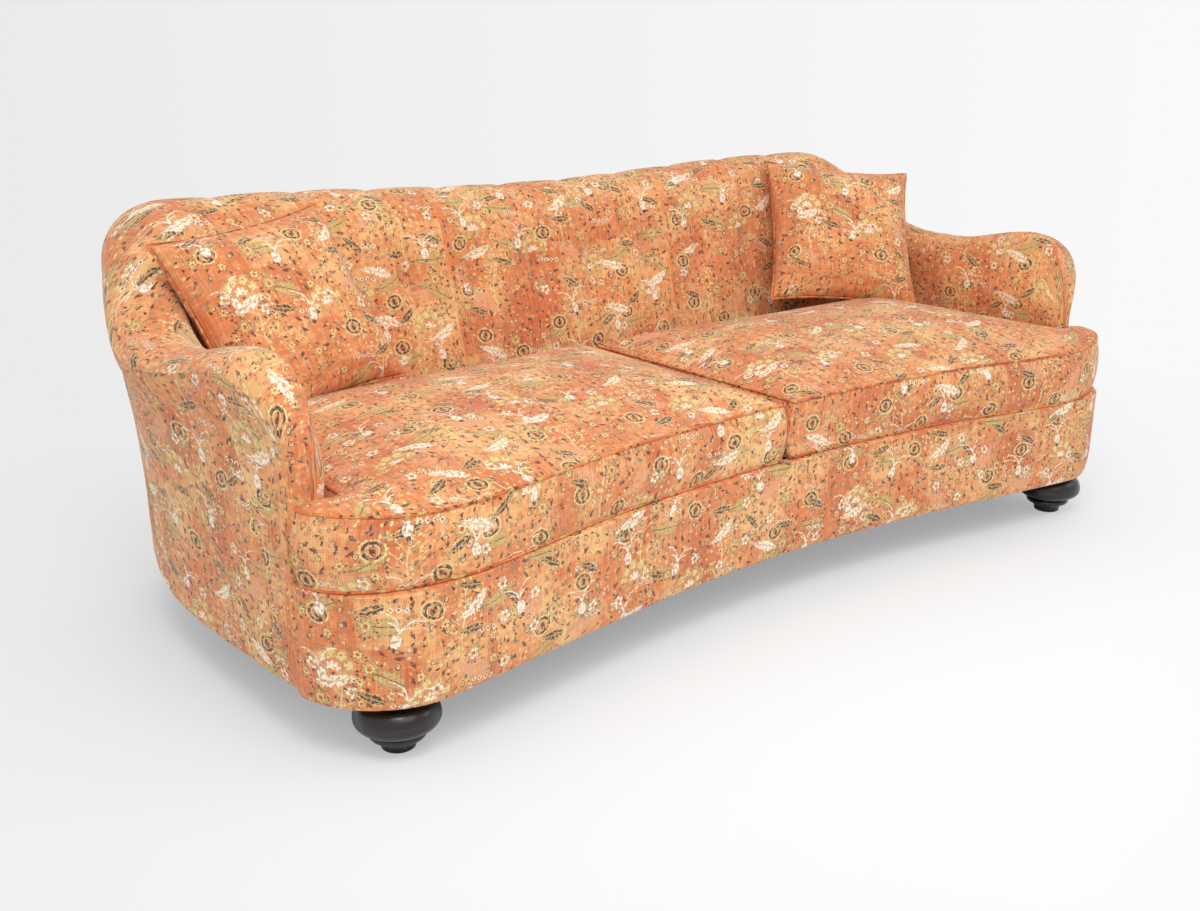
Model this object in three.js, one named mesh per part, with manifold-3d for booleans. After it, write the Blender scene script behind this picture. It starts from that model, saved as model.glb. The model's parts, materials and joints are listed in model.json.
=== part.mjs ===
// A curved two-seat sofa whose back sweeps down into low rolled arms, on four turned bun feet.
// Millimetres, +Z up, the front faces -Y. The open side of the curve is the front.
import * as THREE from "three";
import { mergeVertices } from "three/addons/utils/BufferGeometryUtils.js";
import Module from "manifold-3d";

const wasm = await Module();
wasm.setup();

// Driving dimensions

// Whole body
const half_width = 1122; // outer wall at its widest, half way up the arm
const wall_depth = 1004; // from the front feet's line to the outside back
const foot_height = 113;
const seat_bottom_height = 315; // underside of the loose seat cushions
const arm_height = 634; // crest of the arm at its lowest
const arm_thickness = 112.2; // wall to inner face, half way along the arm
const arm_front_swell = 42; // how much higher the crest stands at the arm's front
const back_height = 838; // crest of the back near its ends
const back_dip = 24; // how much lower the crest is half way along the back
const gap = 0.3; // between faces that touch

// Front curve
const front_setback = 4; // the border's face at the middle, behind the front feet's line
const front_sweep = 118; // how far the border's ends come forward of its middle
const seat_setback = 17; // the seat cushions' face at the middle, behind the feet's line
const seat_sweep = 138;
const flattening_share = 0.47; // how much the sweep flattens towards the ends

// Upholstery over the back and arms
const arm_pad = 22;
const back_pad = 52;
const crest_pad = 29;
const seam_pad = 12;
const panel_thickness = 10;
const panel_flare_arm = 28; // the roll overhangs the wall below it
const panel_flare_back = 8;
const bottom_tuck = 12; // how far the covers draw in at the bottom edge
const tuck_height = 70;
const crest_inset_arm = 56; // from the wall in to the crest
const crest_inset_back = 98;
const back_lean = 102; // how far the back's face leans away from the seat, foot to shoulder
const face_crown = 9; // the padded face bulges between foot and shoulder
const shoulder_drop_arm = 78; // crest down to where the roll begins, seat side
const shoulder_drop_back = 122;
const seam_drop_arm = 34; // crest down to the outside seam
const seam_drop_back = 60;

// Blind tufts along the inside back
const tuft_count = 10;
const tuft_spacing = 181;
const tuft_height = 630;
const tuft_depth = 17;
const tuft_reach = 46; // height over which a dimple fades out
const pleat_depth = 7;

// Arm fronts
const nose_length = 54;
const nose_top_drop = 84; // crest of the roll down to the top of the nose's tip

// Front border
const border_thickness = 27;
const border_edge_round = 5; // rounding of the border's top edge
const border_side_inset = 31; // its side face at the front corner, in from the outer wall
const border_corner_radius = 195;
const border_return = 70; // where the border's ends meet the outside arms, behind the feet's line

// Seat cushions
const ear_inset = 27; // the tips of the ears, in from the outer wall
const cushion_border = 124;
const cushion_crown = 56;
const cushion_bulge = 9;
const cushion_seam_gap = 3;
const ear_depth = 60; // the back edge of the ears, behind the feet's line
const ear_corner_width = 271; // the front corner's round, along the front
const ear_corner_length = 180; // and from front to back
const ear_tip_radius = 14;
const ear_power_share = 0.83; // 1 for an elliptic corner, less for a squarer one
const cushion_wall_gap = 5; // between the cushions and the arms

// Scatter cushions
const scatter_side = 390;
const scatter_thickness = 150;
const scatter_edge = 9;
const scatter_draw_in = 26;
// Their middles, in from the outer wall and the outside back, and up from the seat cushions' seam
const scatter_left_place = { side: 309, back: 379, rise: 198 };
const scatter_right_place = { side: 318, back: 384, rise: 203.6 };
const scatter_left_turn_shares = { turn: 0.286, lean: 0.573, roll: 0.12 }; // of a radian
const scatter_right_turn_shares = { turn: -0.452, lean: 0.6, roll: -0.118 };

// Seat frame, beech
const deck_thickness = 36.1;
const rail_thickness = 28;
const stretcher_thickness = 26;
const stretcher_place = 372;
const block_height = 62;
const block_length = 132;
const block_depth = 104;
const block_lap = 50; // how far a front block runs back along the side rail
const cover_thickness = 1.4;
const cover_inset = 52;
const overrun = 5; // of every cut

// Seat suspension
const spring_wire = 4;
const spring_swing = 26;
const spring_pitch = 118; // from bend to like bend, along the spring
const spring_arch = 9;
const spring_rest = 22; // length that lies on each rail
const springs_per_seat = 4;
const first_spring_place = 110; // from the sofa's middle
const last_spring_inset = 367; // in from the outer wall

// Back and arm frame, plywood ribs and bent rails
const rib_thickness = 20;
const rib_foot = 40;
const rib_clearance = 4; // to the covers and pads that pass over it
const top_rail_width = 34;
const top_rail_height = 26;
const top_rail_offset = 25; // its middle, outside the crest

// Bun feet, turned
const foot_radius = 76;
const foot_belly_height = 60;
const collar_radius = 56;
const collar_height = 13;
const neck_radius = 46;
const bead_radius = 51;
const bead_height = 29;
const base_radius = 30;
const foot_side_inset = 174; // a foot's axis, in from the outer wall
const foot_rear_inset = 174; // and in from the outside back
const bolt_radius = 4;
const bolt_hole_radius = 4.6;
const bolt_in_foot = 55;
const bolt_in_block = 50;

// Plan of the body, as shares of half_width and wall_depth, from the arm's front to mid back
const outer_wall_shares = [
  [0.975, 0.118],
  [0.986, 0.226],
  [0.9965, 0.349],
  [1.0, 0.472],
  [0.994, 0.595],
  [0.978, 0.708],
  [0.955, 0.81],
  [0.921, 0.917],
  [0.86, 0.978],
  [0.722, 0.992],
  [0.361, 0.998],
  [0.0, 1.0],
];
// The inner face: each point's distance in from the wall's, as a share of arm_thickness, then of wall_depth
const inner_face_shares = [
  [0.69, 0.118],
  [0.81, 0.226],
  [0.925, 0.338],
  [0.99, 0.431],
  [1, 0.513],
  [1.01, 0.58],
  [1.06, 0.628],
  [1.13, 0.656],
  [1.12, 0.672],
  [0.8, 0.681],
  [0.31, 0.691],
  [0, 0.695],
];
// Places along the plan, as shares of the step between its points, from the arm's front
const mid_back = outer_wall_shares.length - 1;
const wall_end = 2 * mid_back;
const back_corner_share = 6.6;
const rise_start_share = 3.2;
const rise_end_share = 7.6;
const swell_start_share = 0.6;
const swell_end_share = 3;
const dip_start_share = 8.3;
const blend_start_share = 3.4;
const blend_end_share = 8;

// Finishes
const finish = (color, roughness, metalness = 0) =>
  new THREE.MeshStandardMaterial({ color, roughness, metalness });
const cloth = finish(0xc9713f, 0.9);
const lining_cloth = finish(0x2b2926, 0.95);
const deck_cloth = finish(0xb9a078, 0.95);
const dark_wood = finish(0x1f1311, 0.25);
const beech = finish(0xc8a877, 0.7);
const plywood = finish(0xb8935f, 0.75);
const steel = finish(0x8d8f92, 0.35, 1);

const sofa = new THREE.Group();
sofa.name = "sofa";

// Helpers

const mix = THREE.MathUtils.lerp;
const ease = THREE.MathUtils.smoothstep;
const steps = (count) => Array.from({ length: count + 1 }, (_, i) => i / count);
const flatDistance = (a, b) => Math.hypot(a.x - b.x, a.y - b.y);

function add(name, geometry, material) {
  const mesh = new THREE.Mesh(geometry, material);
  mesh.name = name;
  sofa.add(mesh);
  return mesh;
}

function geometryOf(points, triangles) {
  const geometry = new THREE.BufferGeometry();
  const flat = points.flatMap((p) => [p.x, p.y, p.z]);
  geometry.setAttribute("position", new THREE.Float32BufferAttribute(flat, 3));
  geometry.setIndex(triangles);
  let volume = 0;
  for (let i = 0; i < triangles.length; i += 3) {
    const [a, b, c] = [points[triangles[i]], points[triangles[i + 1]], points[triangles[i + 2]]];
    volume += a.dot(new THREE.Vector3().crossVectors(b, c));
  }
  if (volume < 0) geometry.index.array.reverse();
  geometry.computeVertexNormals();
  return geometry;
}

// The bands of faces between closed rings of equal length.
function bands(rings) {
  const count = rings[0].length;
  const triangles = [];
  for (let i = 0; i + 1 < rings.length; i++)
    for (let j = 0; j < count; j++) {
      const a = i * count + j;
      const b = i * count + ((j + 1) % count);
      triangles.push(a, b, b + count, a, b + count, a + count);
    }
  return triangles;
}

// Joins closed rings into one body. Each end ring's flat view closes that end.
function loft(rings, flatView) {
  const triangles = bands(rings);
  const last = (rings.length - 1) * rings[0].length;
  const cap = (ring, offset, way) => {
    const view = flatView(ring);
    const faces = THREE.ShapeUtils.triangulateShape(view, []);
    const own = faces.reduce((sum, face) => sum + THREE.ShapeUtils.area(face.map((i) => view[i])), 0);
    const same = own * THREE.ShapeUtils.area(view) * way > 0;
    for (const [a, b, c] of faces) {
      const corners = same ? [a, b, c] : [a, c, b];
      triangles.push(...corners.map((i) => i + offset));
    }
  };
  cap(rings[0], 0, -1);
  cap(rings[rings.length - 1], last, 1);
  return geometryOf(rings.flat(), triangles);
}

// A body of rings that closes on a point at each end.
function stack(rings, low, high) {
  const count = rings[0].length;
  const points = [...rings.flat(), low, high];
  const triangles = bands(rings);
  const top = (rings.length - 1) * count;
  for (let j = 0; j < count; j++) {
    const next = (j + 1) % count;
    triangles.push(next, j, points.length - 2, top + j, top + next, points.length - 1);
  }
  return geometryOf(points, triangles);
}

function toSolid(geometry) {
  const bare = new THREE.BufferGeometry();
  bare.setAttribute("position", geometry.getAttribute("position").clone());
  if (geometry.index) bare.setIndex(geometry.index.clone());
  const merged = mergeVertices(bare, 1e-4);
  return new wasm.Manifold(
    new wasm.Mesh({
      numProp: 3,
      vertProperties: merged.attributes.position.array,
      triVerts: new Uint32Array(merged.index.array),
    }),
  );
}

function fromSolid(solid) {
  const mesh = solid.getMesh();
  const geometry = new THREE.BufferGeometry();
  geometry.setAttribute("position", new THREE.BufferAttribute(mesh.vertProperties, 3));
  geometry.setIndex(new THREE.BufferAttribute(mesh.triVerts, 1));
  geometry.computeVertexNormals();
  return geometry;
}

const tidy = (geometry) => fromSolid(toSolid(geometry));

// Plan curves. A place runs from 0 at the left arm's front, round the back, to wall_end.

function planCurve(half) {
  const left = half.map((p) => new THREE.Vector3(-p.x, p.y, 0));
  return new THREE.CatmullRomCurve3([...left, ...half.slice(0, -1).reverse()]);
}
const outer_points = outer_wall_shares.map(([x, y]) => new THREE.Vector3(x * half_width, y * wall_depth, 0));
const inner_points = inner_face_shares.map(([inset, y], i) => {
  return new THREE.Vector3(outer_points[i].x - inset * arm_thickness, y * wall_depth, 0);
});
const outer_curve = planCurve(outer_points);
const inner_curve = planCurve(inner_points);

// Where the arms end, and the length of the first step between places.
const arm_end = outer_wall_shares[0][1] * wall_depth;
const plan_step = outer_wall_shares[1][1] * wall_depth - arm_end;
const seam_share = gap / plan_step;

// The same place counted from the nearer arm's front, so that both halves match.
const fold = (place) => mid_back - Math.abs(place - mid_back);

// Mirrored pairs: side is -1 on the left and 1 on the right.
const sides = [
  ["left", -1],
  ["right", 1],
];
const sided = (place, side) => (side < 0 ? place : wall_end - place);

function wall(place) {
  const beyond = Math.min(0, place, wall_end - place);
  const along = THREE.MathUtils.clamp(place / wall_end, 0, 1);
  const outer = outer_curve.getPoint(along);
  const inner = inner_curve.getPoint(along);
  const forward = outer_curve.getTangent(along).multiplyScalar(place > mid_back ? 1 : -1);
  outer.addScaledVector(forward, -beyond * plan_step);
  inner.addScaledVector(forward, -beyond * plan_step);
  const width = outer.distanceTo(inner);
  return { outer, width, forward, inward: inner.sub(outer).normalize() };
}

// A point by its place, its depth in from the wall and its height.
function at(place, inset, height) {
  const { outer, inward } = wall(place);
  return new THREE.Vector3(outer.x + inward.x * inset, outer.y + inward.y * inset, height);
}

function crest(place) {
  const q = fold(place);
  const rise = (back_height - arm_height) * ease(q, rise_start_share, rise_end_share);
  const swell = arm_front_swell * (1 - ease(q, swell_start_share, swell_end_share));
  return arm_height + rise + swell - back_dip * ease(q, dip_start_share, mid_back);
}

// How far the section has turned from an arm's (0) into the back's (1).
const backness = (place) => ease(fold(place), blend_start_share, blend_end_share);

function section(place) {
  const b = backness(place);
  const top = crest(place);
  const width = wall(place).width;
  return {
    width,
    top,
    shoulder: width - back_lean * b,
    shoulder_height: top - mix(shoulder_drop_arm, shoulder_drop_back, b),
    crest_inset: mix(crest_inset_arm, crest_inset_back, b),
    flare: mix(panel_flare_arm, panel_flare_back, b),
    seam_height: top - mix(seam_drop_arm, seam_drop_back, b),
    pad: mix(arm_pad, back_pad, b),
  };
}

// Heights that follow from one another, from the feet up.
const rail_bottom = foot_height + cover_thickness + 2 * gap;
const deck_bottom = seat_bottom_height - gap - deck_thickness;
const spring_bottom = deck_bottom - gap - spring_arch - spring_wire;
const rail_top = spring_bottom - gap;
const pad_foot_height = deck_bottom;

// The rails' outer face, behind the lower edge of the covers.
const rail_inset = bottom_tuck + panel_thickness + 2 * gap;

const face_share = 0.46; // of the skin's run from foot to seam
const crest_share = 0.7;

// The skin of the padding: 0 at the foot, over the crest, to 1 at the outside seam.
function skin(place, t) {
  const s = section(place);
  if (t <= face_share) {
    const k = t / face_share;
    const bulge = face_crown * Math.sin(Math.PI * k);
    return [mix(s.width, s.shoulder, k) + bulge, mix(pad_foot_height, s.shoulder_height, k)];
  }
  if (t <= crest_share) {
    const turn = ((t - face_share) / (crest_share - face_share)) * (Math.PI / 2);
    return [
      s.crest_inset + (s.shoulder - s.crest_inset) * Math.cos(turn),
      s.shoulder_height + (s.top - s.shoulder_height) * Math.sin(turn),
    ];
  }
  const turn = ((t - crest_share) / (1 - crest_share)) * (Math.PI / 2);
  return [
    s.crest_inset - (s.crest_inset + s.flare) * Math.sin(turn),
    s.seam_height + (s.top - s.seam_height) * Math.cos(turn),
  ];
}

// A point below the skin, measured square to it.
function underSkin(place, t, depth) {
  const step_share = 0.004;
  const [n, z] = skin(place, t);
  const [n0, z0] = skin(place, Math.max(0, t - step_share));
  const [n1, z1] = skin(place, Math.min(1, t + step_share));
  const length = Math.hypot(n1 - n0, z1 - z0);
  return [n - ((z1 - z0) / length) * depth, z + ((n1 - n0) / length) * depth];
}

const skin_shares = [0, 0.1, 0.2, 0.29, 0.37, 0.46, 0.53, 0.6, 0.66, 0.72, 0.79, 0.86, 0.93, 1];
const lining_shares = [1, 0.9, 0.8, 0.7, 0.6, 0.52, 0.44, 0.25, 0];

// The underside of the padding, by the same shares as the skin.
function lining(place, t) {
  const s = section(place);
  const face = s.shoulder - s.pad;
  const crest_n = Math.min(s.crest_inset, face);
  const top = s.top - crest_pad;
  if (t <= face_share) {
    const k = t / face_share;
    return [mix(s.width, s.shoulder, k) - s.pad, mix(pad_foot_height, s.shoulder_height, k)];
  }
  if (t <= crest_share) {
    const turn = ((t - face_share) / (crest_share - face_share)) * (Math.PI / 2);
    return [mix(crest_n, face, Math.cos(turn)), mix(s.shoulder_height, top, Math.sin(turn))];
  }
  const turn = ((t - crest_share) / (1 - crest_share)) * (Math.PI / 2);
  return [mix(crest_n, seam_pad - s.flare, Math.sin(turn)), mix(s.seam_height, top, Math.cos(turn))];
}

// The lining's height over a depth in from the wall, under the crest.
function liningHeight(place, inset) {
  const line = lining_shares.map((t) => lining(place, t));
  const i = line.findIndex(([n], k) => k > 0 && n >= inset);
  const [[n0, z0], [n1, z1]] = [line[i - 1], line[i]];
  return mix(z0, z1, (inset - n0) / (n1 - n0));
}

function padRing(place, dimple = () => 0) {
  const outside = skin_shares.map((t) => {
    const [n, z] = underSkin(place, t, dimple(place, t));
    return at(place, n, t === 0 ? pad_foot_height : z);
  });
  const inside = lining_shares.map((t) => at(place, ...lining(place, t)));
  return [...outside, ...inside];
}

// A vertical section seen flat, for closing a loft's end.
function sideView(ring) {
  const origin = ring[0];
  const far = ring.reduce((m, p) => (flatDistance(p, origin) > flatDistance(m, origin) ? p : m), origin);
  const way = new THREE.Vector3(far.x - origin.x, far.y - origin.y, 0).normalize();
  return ring.map((p) => new THREE.Vector2((p.x - origin.x) * way.x + (p.y - origin.y) * way.y, p.z));
}

// Upholstery of the back and arms

// The place along the back where the crest passes a given distance from the middle.
function placeAtCrest(x) {
  let low = 0;
  let high = wall_end;
  for (let i = 0; i < 40; i++) {
    const mid = (low + high) / 2;
    if (at(mid, section(mid).crest_inset, 0).x < x) low = mid;
    else high = mid;
  }
  return (low + high) / 2;
}

const tuft_places = Array.from({ length: tuft_count }, (_, i) => (i - (tuft_count - 1) / 2) * tuft_spacing);

function tuftDimple(place, t) {
  const x = at(place, section(place).crest_inset, 0).x;
  const [, z] = skin(place, t);
  const nearest = tuft_places.reduce((m, p) => (Math.abs(p - x) < Math.abs(m - x) ? p : m));
  const off = Math.abs(nearest - x) / (tuft_spacing / 2);
  if (off > 1) return 0;
  const groove = (1 - off) ** 2;
  const near = Math.exp(-(((z - tuft_height) / tuft_reach) ** 2));
  const above = t > face_share || z > tuft_height ? 1 : near;
  return groove * (tuft_depth * near + pleat_depth * above * ease(1 - t, 0, 1 - crest_share));
}

const corner_stations = 5; // between an arm's seam and the first of the tufts' stations

// Stations along the arms and the back. Covers that share a seam share its stations.
const arm_stations = 13;
const arm_places = steps(arm_stations).map((k) => mix(0, back_corner_share - seam_share, k));
const back_places = backStations();

function backStations() {
  const first = back_corner_share + seam_share;
  const reach = 2 * tuft_count;
  const quarters = Array.from({ length: 2 * reach + 1 }, (_, i) => i - reach);
  const crossings = quarters.map((quarter) => placeAtCrest((quarter * tuft_spacing) / 4));
  const turned = steps(corner_stations).slice(0, -1).map((k) => mix(first, crossings[0], k));
  return [...turned, ...crossings, ...turned.map((place) => wall_end - place).reverse()];
}

function insideBack() {
  const rings = back_places.map((place) => padRing(place, tuftDimple));
  add("inside_back", loft(rings, sideView), cloth);
}

function insideArm(name, side) {
  const rings = arm_places.map((place) => padRing(sided(place, side)));
  add("inside_arm_" + name, loft(rings, sideView), cloth);
}

// How far the covers draw in at a height, down to the bottom edge.
function tuck(height) {
  const rise = THREE.MathUtils.clamp((height - foot_height) / tuck_height, 0, 1);
  return bottom_tuck * (1 - Math.sqrt(1 - (1 - rise) ** 2));
}

// Depth of the outside covers' face behind the wall.
function panelInset(place, height) {
  const s = section(place);
  const middle = (seat_bottom_height + s.seam_height) / 2;
  return tuck(height) - s.flare * ease(height, middle, s.seam_height) ** 2;
}

// The seam between an outside arm and the arm's front, by its share of the rise from foot to roll:
// upright beside the border, then leaning back.
const border_end = (border_return - arm_end) / plan_step;
const border_rise_share = (seat_bottom_height - foot_height) / (section(0).seam_height - foot_height);
const armSeam = (share) => {
  const leaning = Math.max(0, share - border_rise_share) / (1 - border_rise_share);
  return border_end * (1 - leaning);
};

const panel_rise_shares = [0, 0.03, 0.09, 0.2, 0.42, 0.62, 0.78, 0.9, 1];
const panel_back_shares = [0.9, 0.78, 0.62, 0.42, 0.09, 0];

// An outside cover over the given places. Its near edge follows the arm's seam where it has one.
function panel(name, places, edge = () => 0) {
  const rings = places.map((place, i) => {
    const end = i / (places.length - 1);
    const point = (inset, share) => {
      const height = mix(foot_height, section(place).seam_height - gap, share);
      const shifted = place + edge(share) * (1 - end);
      return at(shifted, panelInset(place, height) + inset, height);
    };
    const outside = panel_rise_shares.map((share) => point(0, share));
    const inside = panel_back_shares.map((share) => point(panel_thickness, share));
    return [...outside, point(panel_thickness, 1), ...inside];
  });
  add(name, loft(rings, sideView), cloth);
}

function outsideCovers() {
  for (const [name, side] of sides) {
    const places = arm_places.map((place) => sided(place + seam_share * (place === 0), side));
    panel("outside_arm_" + name, places, (share) => -side * armSeam(share));
  }
  panel("outside_back", back_places);
}

// The arm's front: the roll's own section drawn forward and in to a rounded nose.
const nose_inner_shares = [0.13, 0.24, 0.36, 0.46, 0.53, 0.6, 0.66, 0.72, 0.79, 0.86, 0.93, 1];
const nose_round_shares = [0, 0.3, 0.55, 0.75, 0.9];
const nose_back_share = 0.1; // how far in the nose's flat back is ringed

function armFront(name, side) {
  const base = section(0);
  const low = seat_bottom_height + gap;
  const over = nose_inner_shares.map((t) => {
    const [n, z] = skin(0, t);
    return { n, z, place: -seam_share, backed: t === 1 };
  });
  const outer_shares = [...panel_back_shares.filter((share) => share > border_rise_share), border_rise_share];
  const down = outer_shares.map((share) => {
    const z = Math.max(low, mix(foot_height, base.seam_height, share));
    return { n: panelInset(0, z), z, place: armSeam(share) - seam_share, backed: true };
  });
  const inner_foot = { n: base.width, z: low, place: -seam_share };
  const run = [inner_foot, ...over, ...down];
  const tip = base.top - nose_top_drop;
  const { forward } = wall(sided(0, side));
  const reached = (place, length, turn) => (length + place * plan_step) * Math.sin(turn);
  const ring = (share) => {
    const turn = (share * Math.PI) / 2;
    return run.map(({ n, z, place }) => {
      const tip_z = mix(low, tip, (z - low) / (base.top - low));
      const edge = at(sided(place, side), n, z);
      const centre = at(sided(place, side), base.width / 2, tip_z);
      return centre.lerp(edge, Math.cos(turn)).addScaledVector(forward, reached(place, nose_length, turn));
    });
  };
  const behind = run.map(({ n, z, place, backed }) => {
    if (backed) return at(sided(place, side), n + panel_thickness + 2 * gap, z);
    return at(sided(place, side), mix(n, base.width / 2, nose_back_share), mix(z, tip, nose_back_share));
  });
  const rings = [behind, ...nose_round_shares.map(ring)];
  const middle_height = (low + tip) / 2;
  const back = at(sided(-seam_share, side), base.width / 2, middle_height);
  const front = back.clone().addScaledVector(forward, nose_length);
  add("arm_front_" + name, stack(rings, back, front), cloth);
}

// Front border

const sweepCurve = (x, setback, sweep) => {
  const k = (x / half_width) ** 2;
  return setback - (sweep * (k - flattening_share * k * k)) / (1 - flattening_share);
};
const borderFace = (x) => sweepCurve(x, front_setback, front_sweep);
const cushionFace = (x) => sweepCurve(x, seat_setback, seat_sweep);

const border_corner_half_width = half_width - border_side_inset;
const border_corner = {
  x: border_corner_half_width - border_corner_radius,
  y: borderFace(border_corner_half_width - border_corner_radius) + border_corner_radius,
};
const corner_steps = 9;
const border_front_steps = 12;

// Half of the border's plan, from its return beside the arm to the middle.
function borderPlan() {
  const start = Math.asin((border_corner.y - border_return) / border_corner_radius);
  const corner = steps(corner_steps).map((k) => {
    const turn = mix(start, Math.PI / 2, k);
    return new THREE.Vector3(
      border_corner.x + border_corner_radius * Math.cos(turn),
      border_corner.y - border_corner_radius * Math.sin(turn),
      0,
    );
  });
  const front = steps(border_front_steps).slice(1).map((k) => {
    const x = mix(border_corner.x, 0, k);
    return new THREE.Vector3(x, borderFace(x), 0);
  });
  return [...corner, ...front];
}

function wholePlan(half) {
  const left = half.map((p) => new THREE.Vector3(-p.x, p.y, 0));
  return [...left, ...half.slice(0, -1).reverse()];
}

// Sideways unit vectors of a plan polyline, pointing in under the seat.
function inwardOf(plan) {
  return plan.map((_, i) => {
    const a = plan[Math.max(0, i - 1)];
    const b = plan[Math.min(plan.length - 1, i + 1)];
    const along = new THREE.Vector3().subVectors(b, a).normalize();
    return new THREE.Vector3(-along.y, along.x, 0);
  });
}

const front_plan = wholePlan(borderPlan());
const front_inward = inwardOf(front_plan);
front_inward[0] = wall(border_end).inward;
front_inward[front_plan.length - 1] = wall(wall_end - border_end).inward;
const frontPoint = (i, inset, z) => front_plan[i].clone().addScaledVector(front_inward[i], inset).setZ(z);

const tuck_rise_shares = [0, 0.12, 0.4, 1];

function frontBorder() {
  const top = seat_bottom_height - gap;
  const rings = front_plan.map((_, i) => [
    ...tuck_rise_shares.map((share) => {
      const z = foot_height + tuck_height * share;
      return frontPoint(i, tuck(z), z);
    }),
    frontPoint(i, 0, top - border_edge_round),
    frontPoint(i, border_edge_round, top),
    frontPoint(i, border_thickness, top),
    frontPoint(i, border_thickness, foot_height),
  ]);
  add("front_border", loft(rings, sideView), cloth);
}

// Seat cushions

const cushion_front_steps = 8;
const cushion_ear_steps = 7;
const cushion_seam_steps = 5;
const cushion_place_shares = [0.6, 1.8, 3, 4, 5, 5.8, 6.5, 7.2, 8, 9, 9.6, 10.2]; // of the plan's step

// A half cushion's outline from the middle seam, round by the ear, to the back.
function cushionOutline() {
  const half_seam = cushion_seam_gap / 2;
  const front_end = half_width - ear_inset - ear_corner_width;
  const points = steps(cushion_front_steps).map((k) => {
    const x = mix(half_seam, front_end, k);
    return new THREE.Vector2(x, cushionFace(x));
  });
  const cy = cushionFace(front_end) + ear_corner_length;
  const ear_rise = (cy - ear_depth + ear_tip_radius) / ear_corner_length;
  const last_turn = Math.acos(ear_rise ** (1 / ear_power_share));
  for (const k of steps(cushion_ear_steps).slice(1)) {
    const turn = k * last_turn;
    points.push(
      new THREE.Vector2(
        front_end + ear_corner_width * Math.sin(turn) ** ear_power_share,
        cy - ear_corner_length * Math.cos(turn) ** ear_power_share,
      ),
    );
  }
  const tip = points[points.length - 1].x;
  const side = inner_points[0].x - cushion_wall_gap - face_crown;
  points.push(new THREE.Vector2(tip - ear_tip_radius / 3, ear_depth - ear_tip_radius / 3));
  points.push(new THREE.Vector2(tip - ear_tip_radius, ear_depth));
  points.push(new THREE.Vector2(side + ear_tip_radius, ear_depth));
  points.push(new THREE.Vector2(side, ear_depth + ear_tip_radius));
  const inset = (place) => wall(place).width + face_crown + cushion_wall_gap;
  for (const share of cushion_place_shares) {
    const p = at(wall_end - share, inset(wall_end - share), 0);
    points.push(new THREE.Vector2(p.x, p.y));
  }
  const rear = at(mid_back, inset(mid_back), 0);
  for (const k of steps(cushion_seam_steps).slice(0, -1))
    points.push(new THREE.Vector2(half_seam, mix(rear.y, cushionFace(half_seam), k)));
  return points;
}

const heart_share = 0.46; // of half_width, where the rings shrink to
const cushion_ring_shares = [
  // size of each ring of the crown, and its heart's share of wall_depth
  [0.93, 0],
  [0.82, 0.04],
  [0.66, 0.11],
  [0.45, 0.15],
  [0.22, 0.16],
];
const welt_round_share = 0.12; // of the cushion's border, above and below
const crown_power_share = 2.6;

function seatCushion(name, side) {
  const outline = cushionOutline();
  const heartPoint = (share) => new THREE.Vector2(heart_share * half_width, share * wall_depth);
  const ring = (share, z, drawn_in = 0, rise_share = 0) =>
    outline.map((p) => {
      const heart = heartPoint(rise_share);
      const away = new THREE.Vector2().subVectors(p, heart);
      away.setLength(away.length() * share - drawn_in);
      return new THREE.Vector3(side * (heart.x + away.x), heart.y + away.y, z);
    });
  const bottom = seat_bottom_height + gap;
  const welt = seat_bottom_height + cushion_border;
  const round = cushion_border * welt_round_share;
  const crown = (share) => welt + cushion_crown * (1 - share ** crown_power_share);
  const rings = [
    ring(1, bottom, cushion_bulge),
    ring(1, bottom + round, cushion_bulge / 3),
    ring(1, (bottom + welt) / 2),
    ring(1, welt - round, cushion_bulge / 3),
    ring(1, welt, cushion_bulge),
    ...cushion_ring_shares.map(([share, rise_share]) => ring(share, crown(share), 0, rise_share)),
  ];
  const heart = heartPoint(cushion_ring_shares.at(-1)[1]);
  const low = new THREE.Vector3(side * heart.x, heart.y, bottom);
  const high = new THREE.Vector3(side * heart.x, heart.y, crown(0));
  add("seat_cushion_" + name, stack(rings, low, high), cloth);
}

// Scatter cushions: a square pillow that thins to its piped edge, with its corners left full.
const scatter_per_side = 7;
const scatter_ring_shares = [1, 0.93, 0.82, 0.66, 0.45, 0.22];
const scatter_corner_share = 0.04;
const scatter_swell_power_shares = [2.2, 0.8];

function scatterCushion(name, side, place, turn_shares) {
  const half = scatter_side / 2;
  const outline = [];
  for (let edge = 0; edge < 4; edge++)
    for (let i = 0; i < scatter_per_side; i++) {
      const k = (2 * i) / scatter_per_side - 1;
      const drawn = scatter_draw_in * (1 - k * k);
      const along = k * half * (1 - scatter_corner_share * (1 - k * k));
      const point = new THREE.Vector2(along, drawn - half);
      outline.push(point.rotateAround(new THREE.Vector2(), (edge * Math.PI) / 2));
    }
  const ring = (share, depth) => outline.map((p) => new THREE.Vector3(p.x * share, depth, p.y * share));
  const [power, root] = scatter_swell_power_shares;
  const swell = (share) => mix(scatter_edge, scatter_thickness, (1 - share ** power) ** root) / 2;
  const rings = [
    ...scatter_ring_shares.toReversed().map((share) => ring(share, -swell(share))),
    ...scatter_ring_shares.map((share) => ring(share, swell(share))),
  ];
  const tip = new THREE.Vector3(0, scatter_thickness / 2, 0);
  const mesh = add("scatter_cushion_" + name, stack(rings, tip.clone().negate(), tip), cloth);
  mesh.rotation.set(-turn_shares.lean, -turn_shares.roll, turn_shares.turn, "ZXY");
  const seam_height = seat_bottom_height + cushion_border;
  mesh.position.set(side * (half_width - place.side), wall_depth - place.back, seam_height + place.rise);
}

// Seat frame

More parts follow.
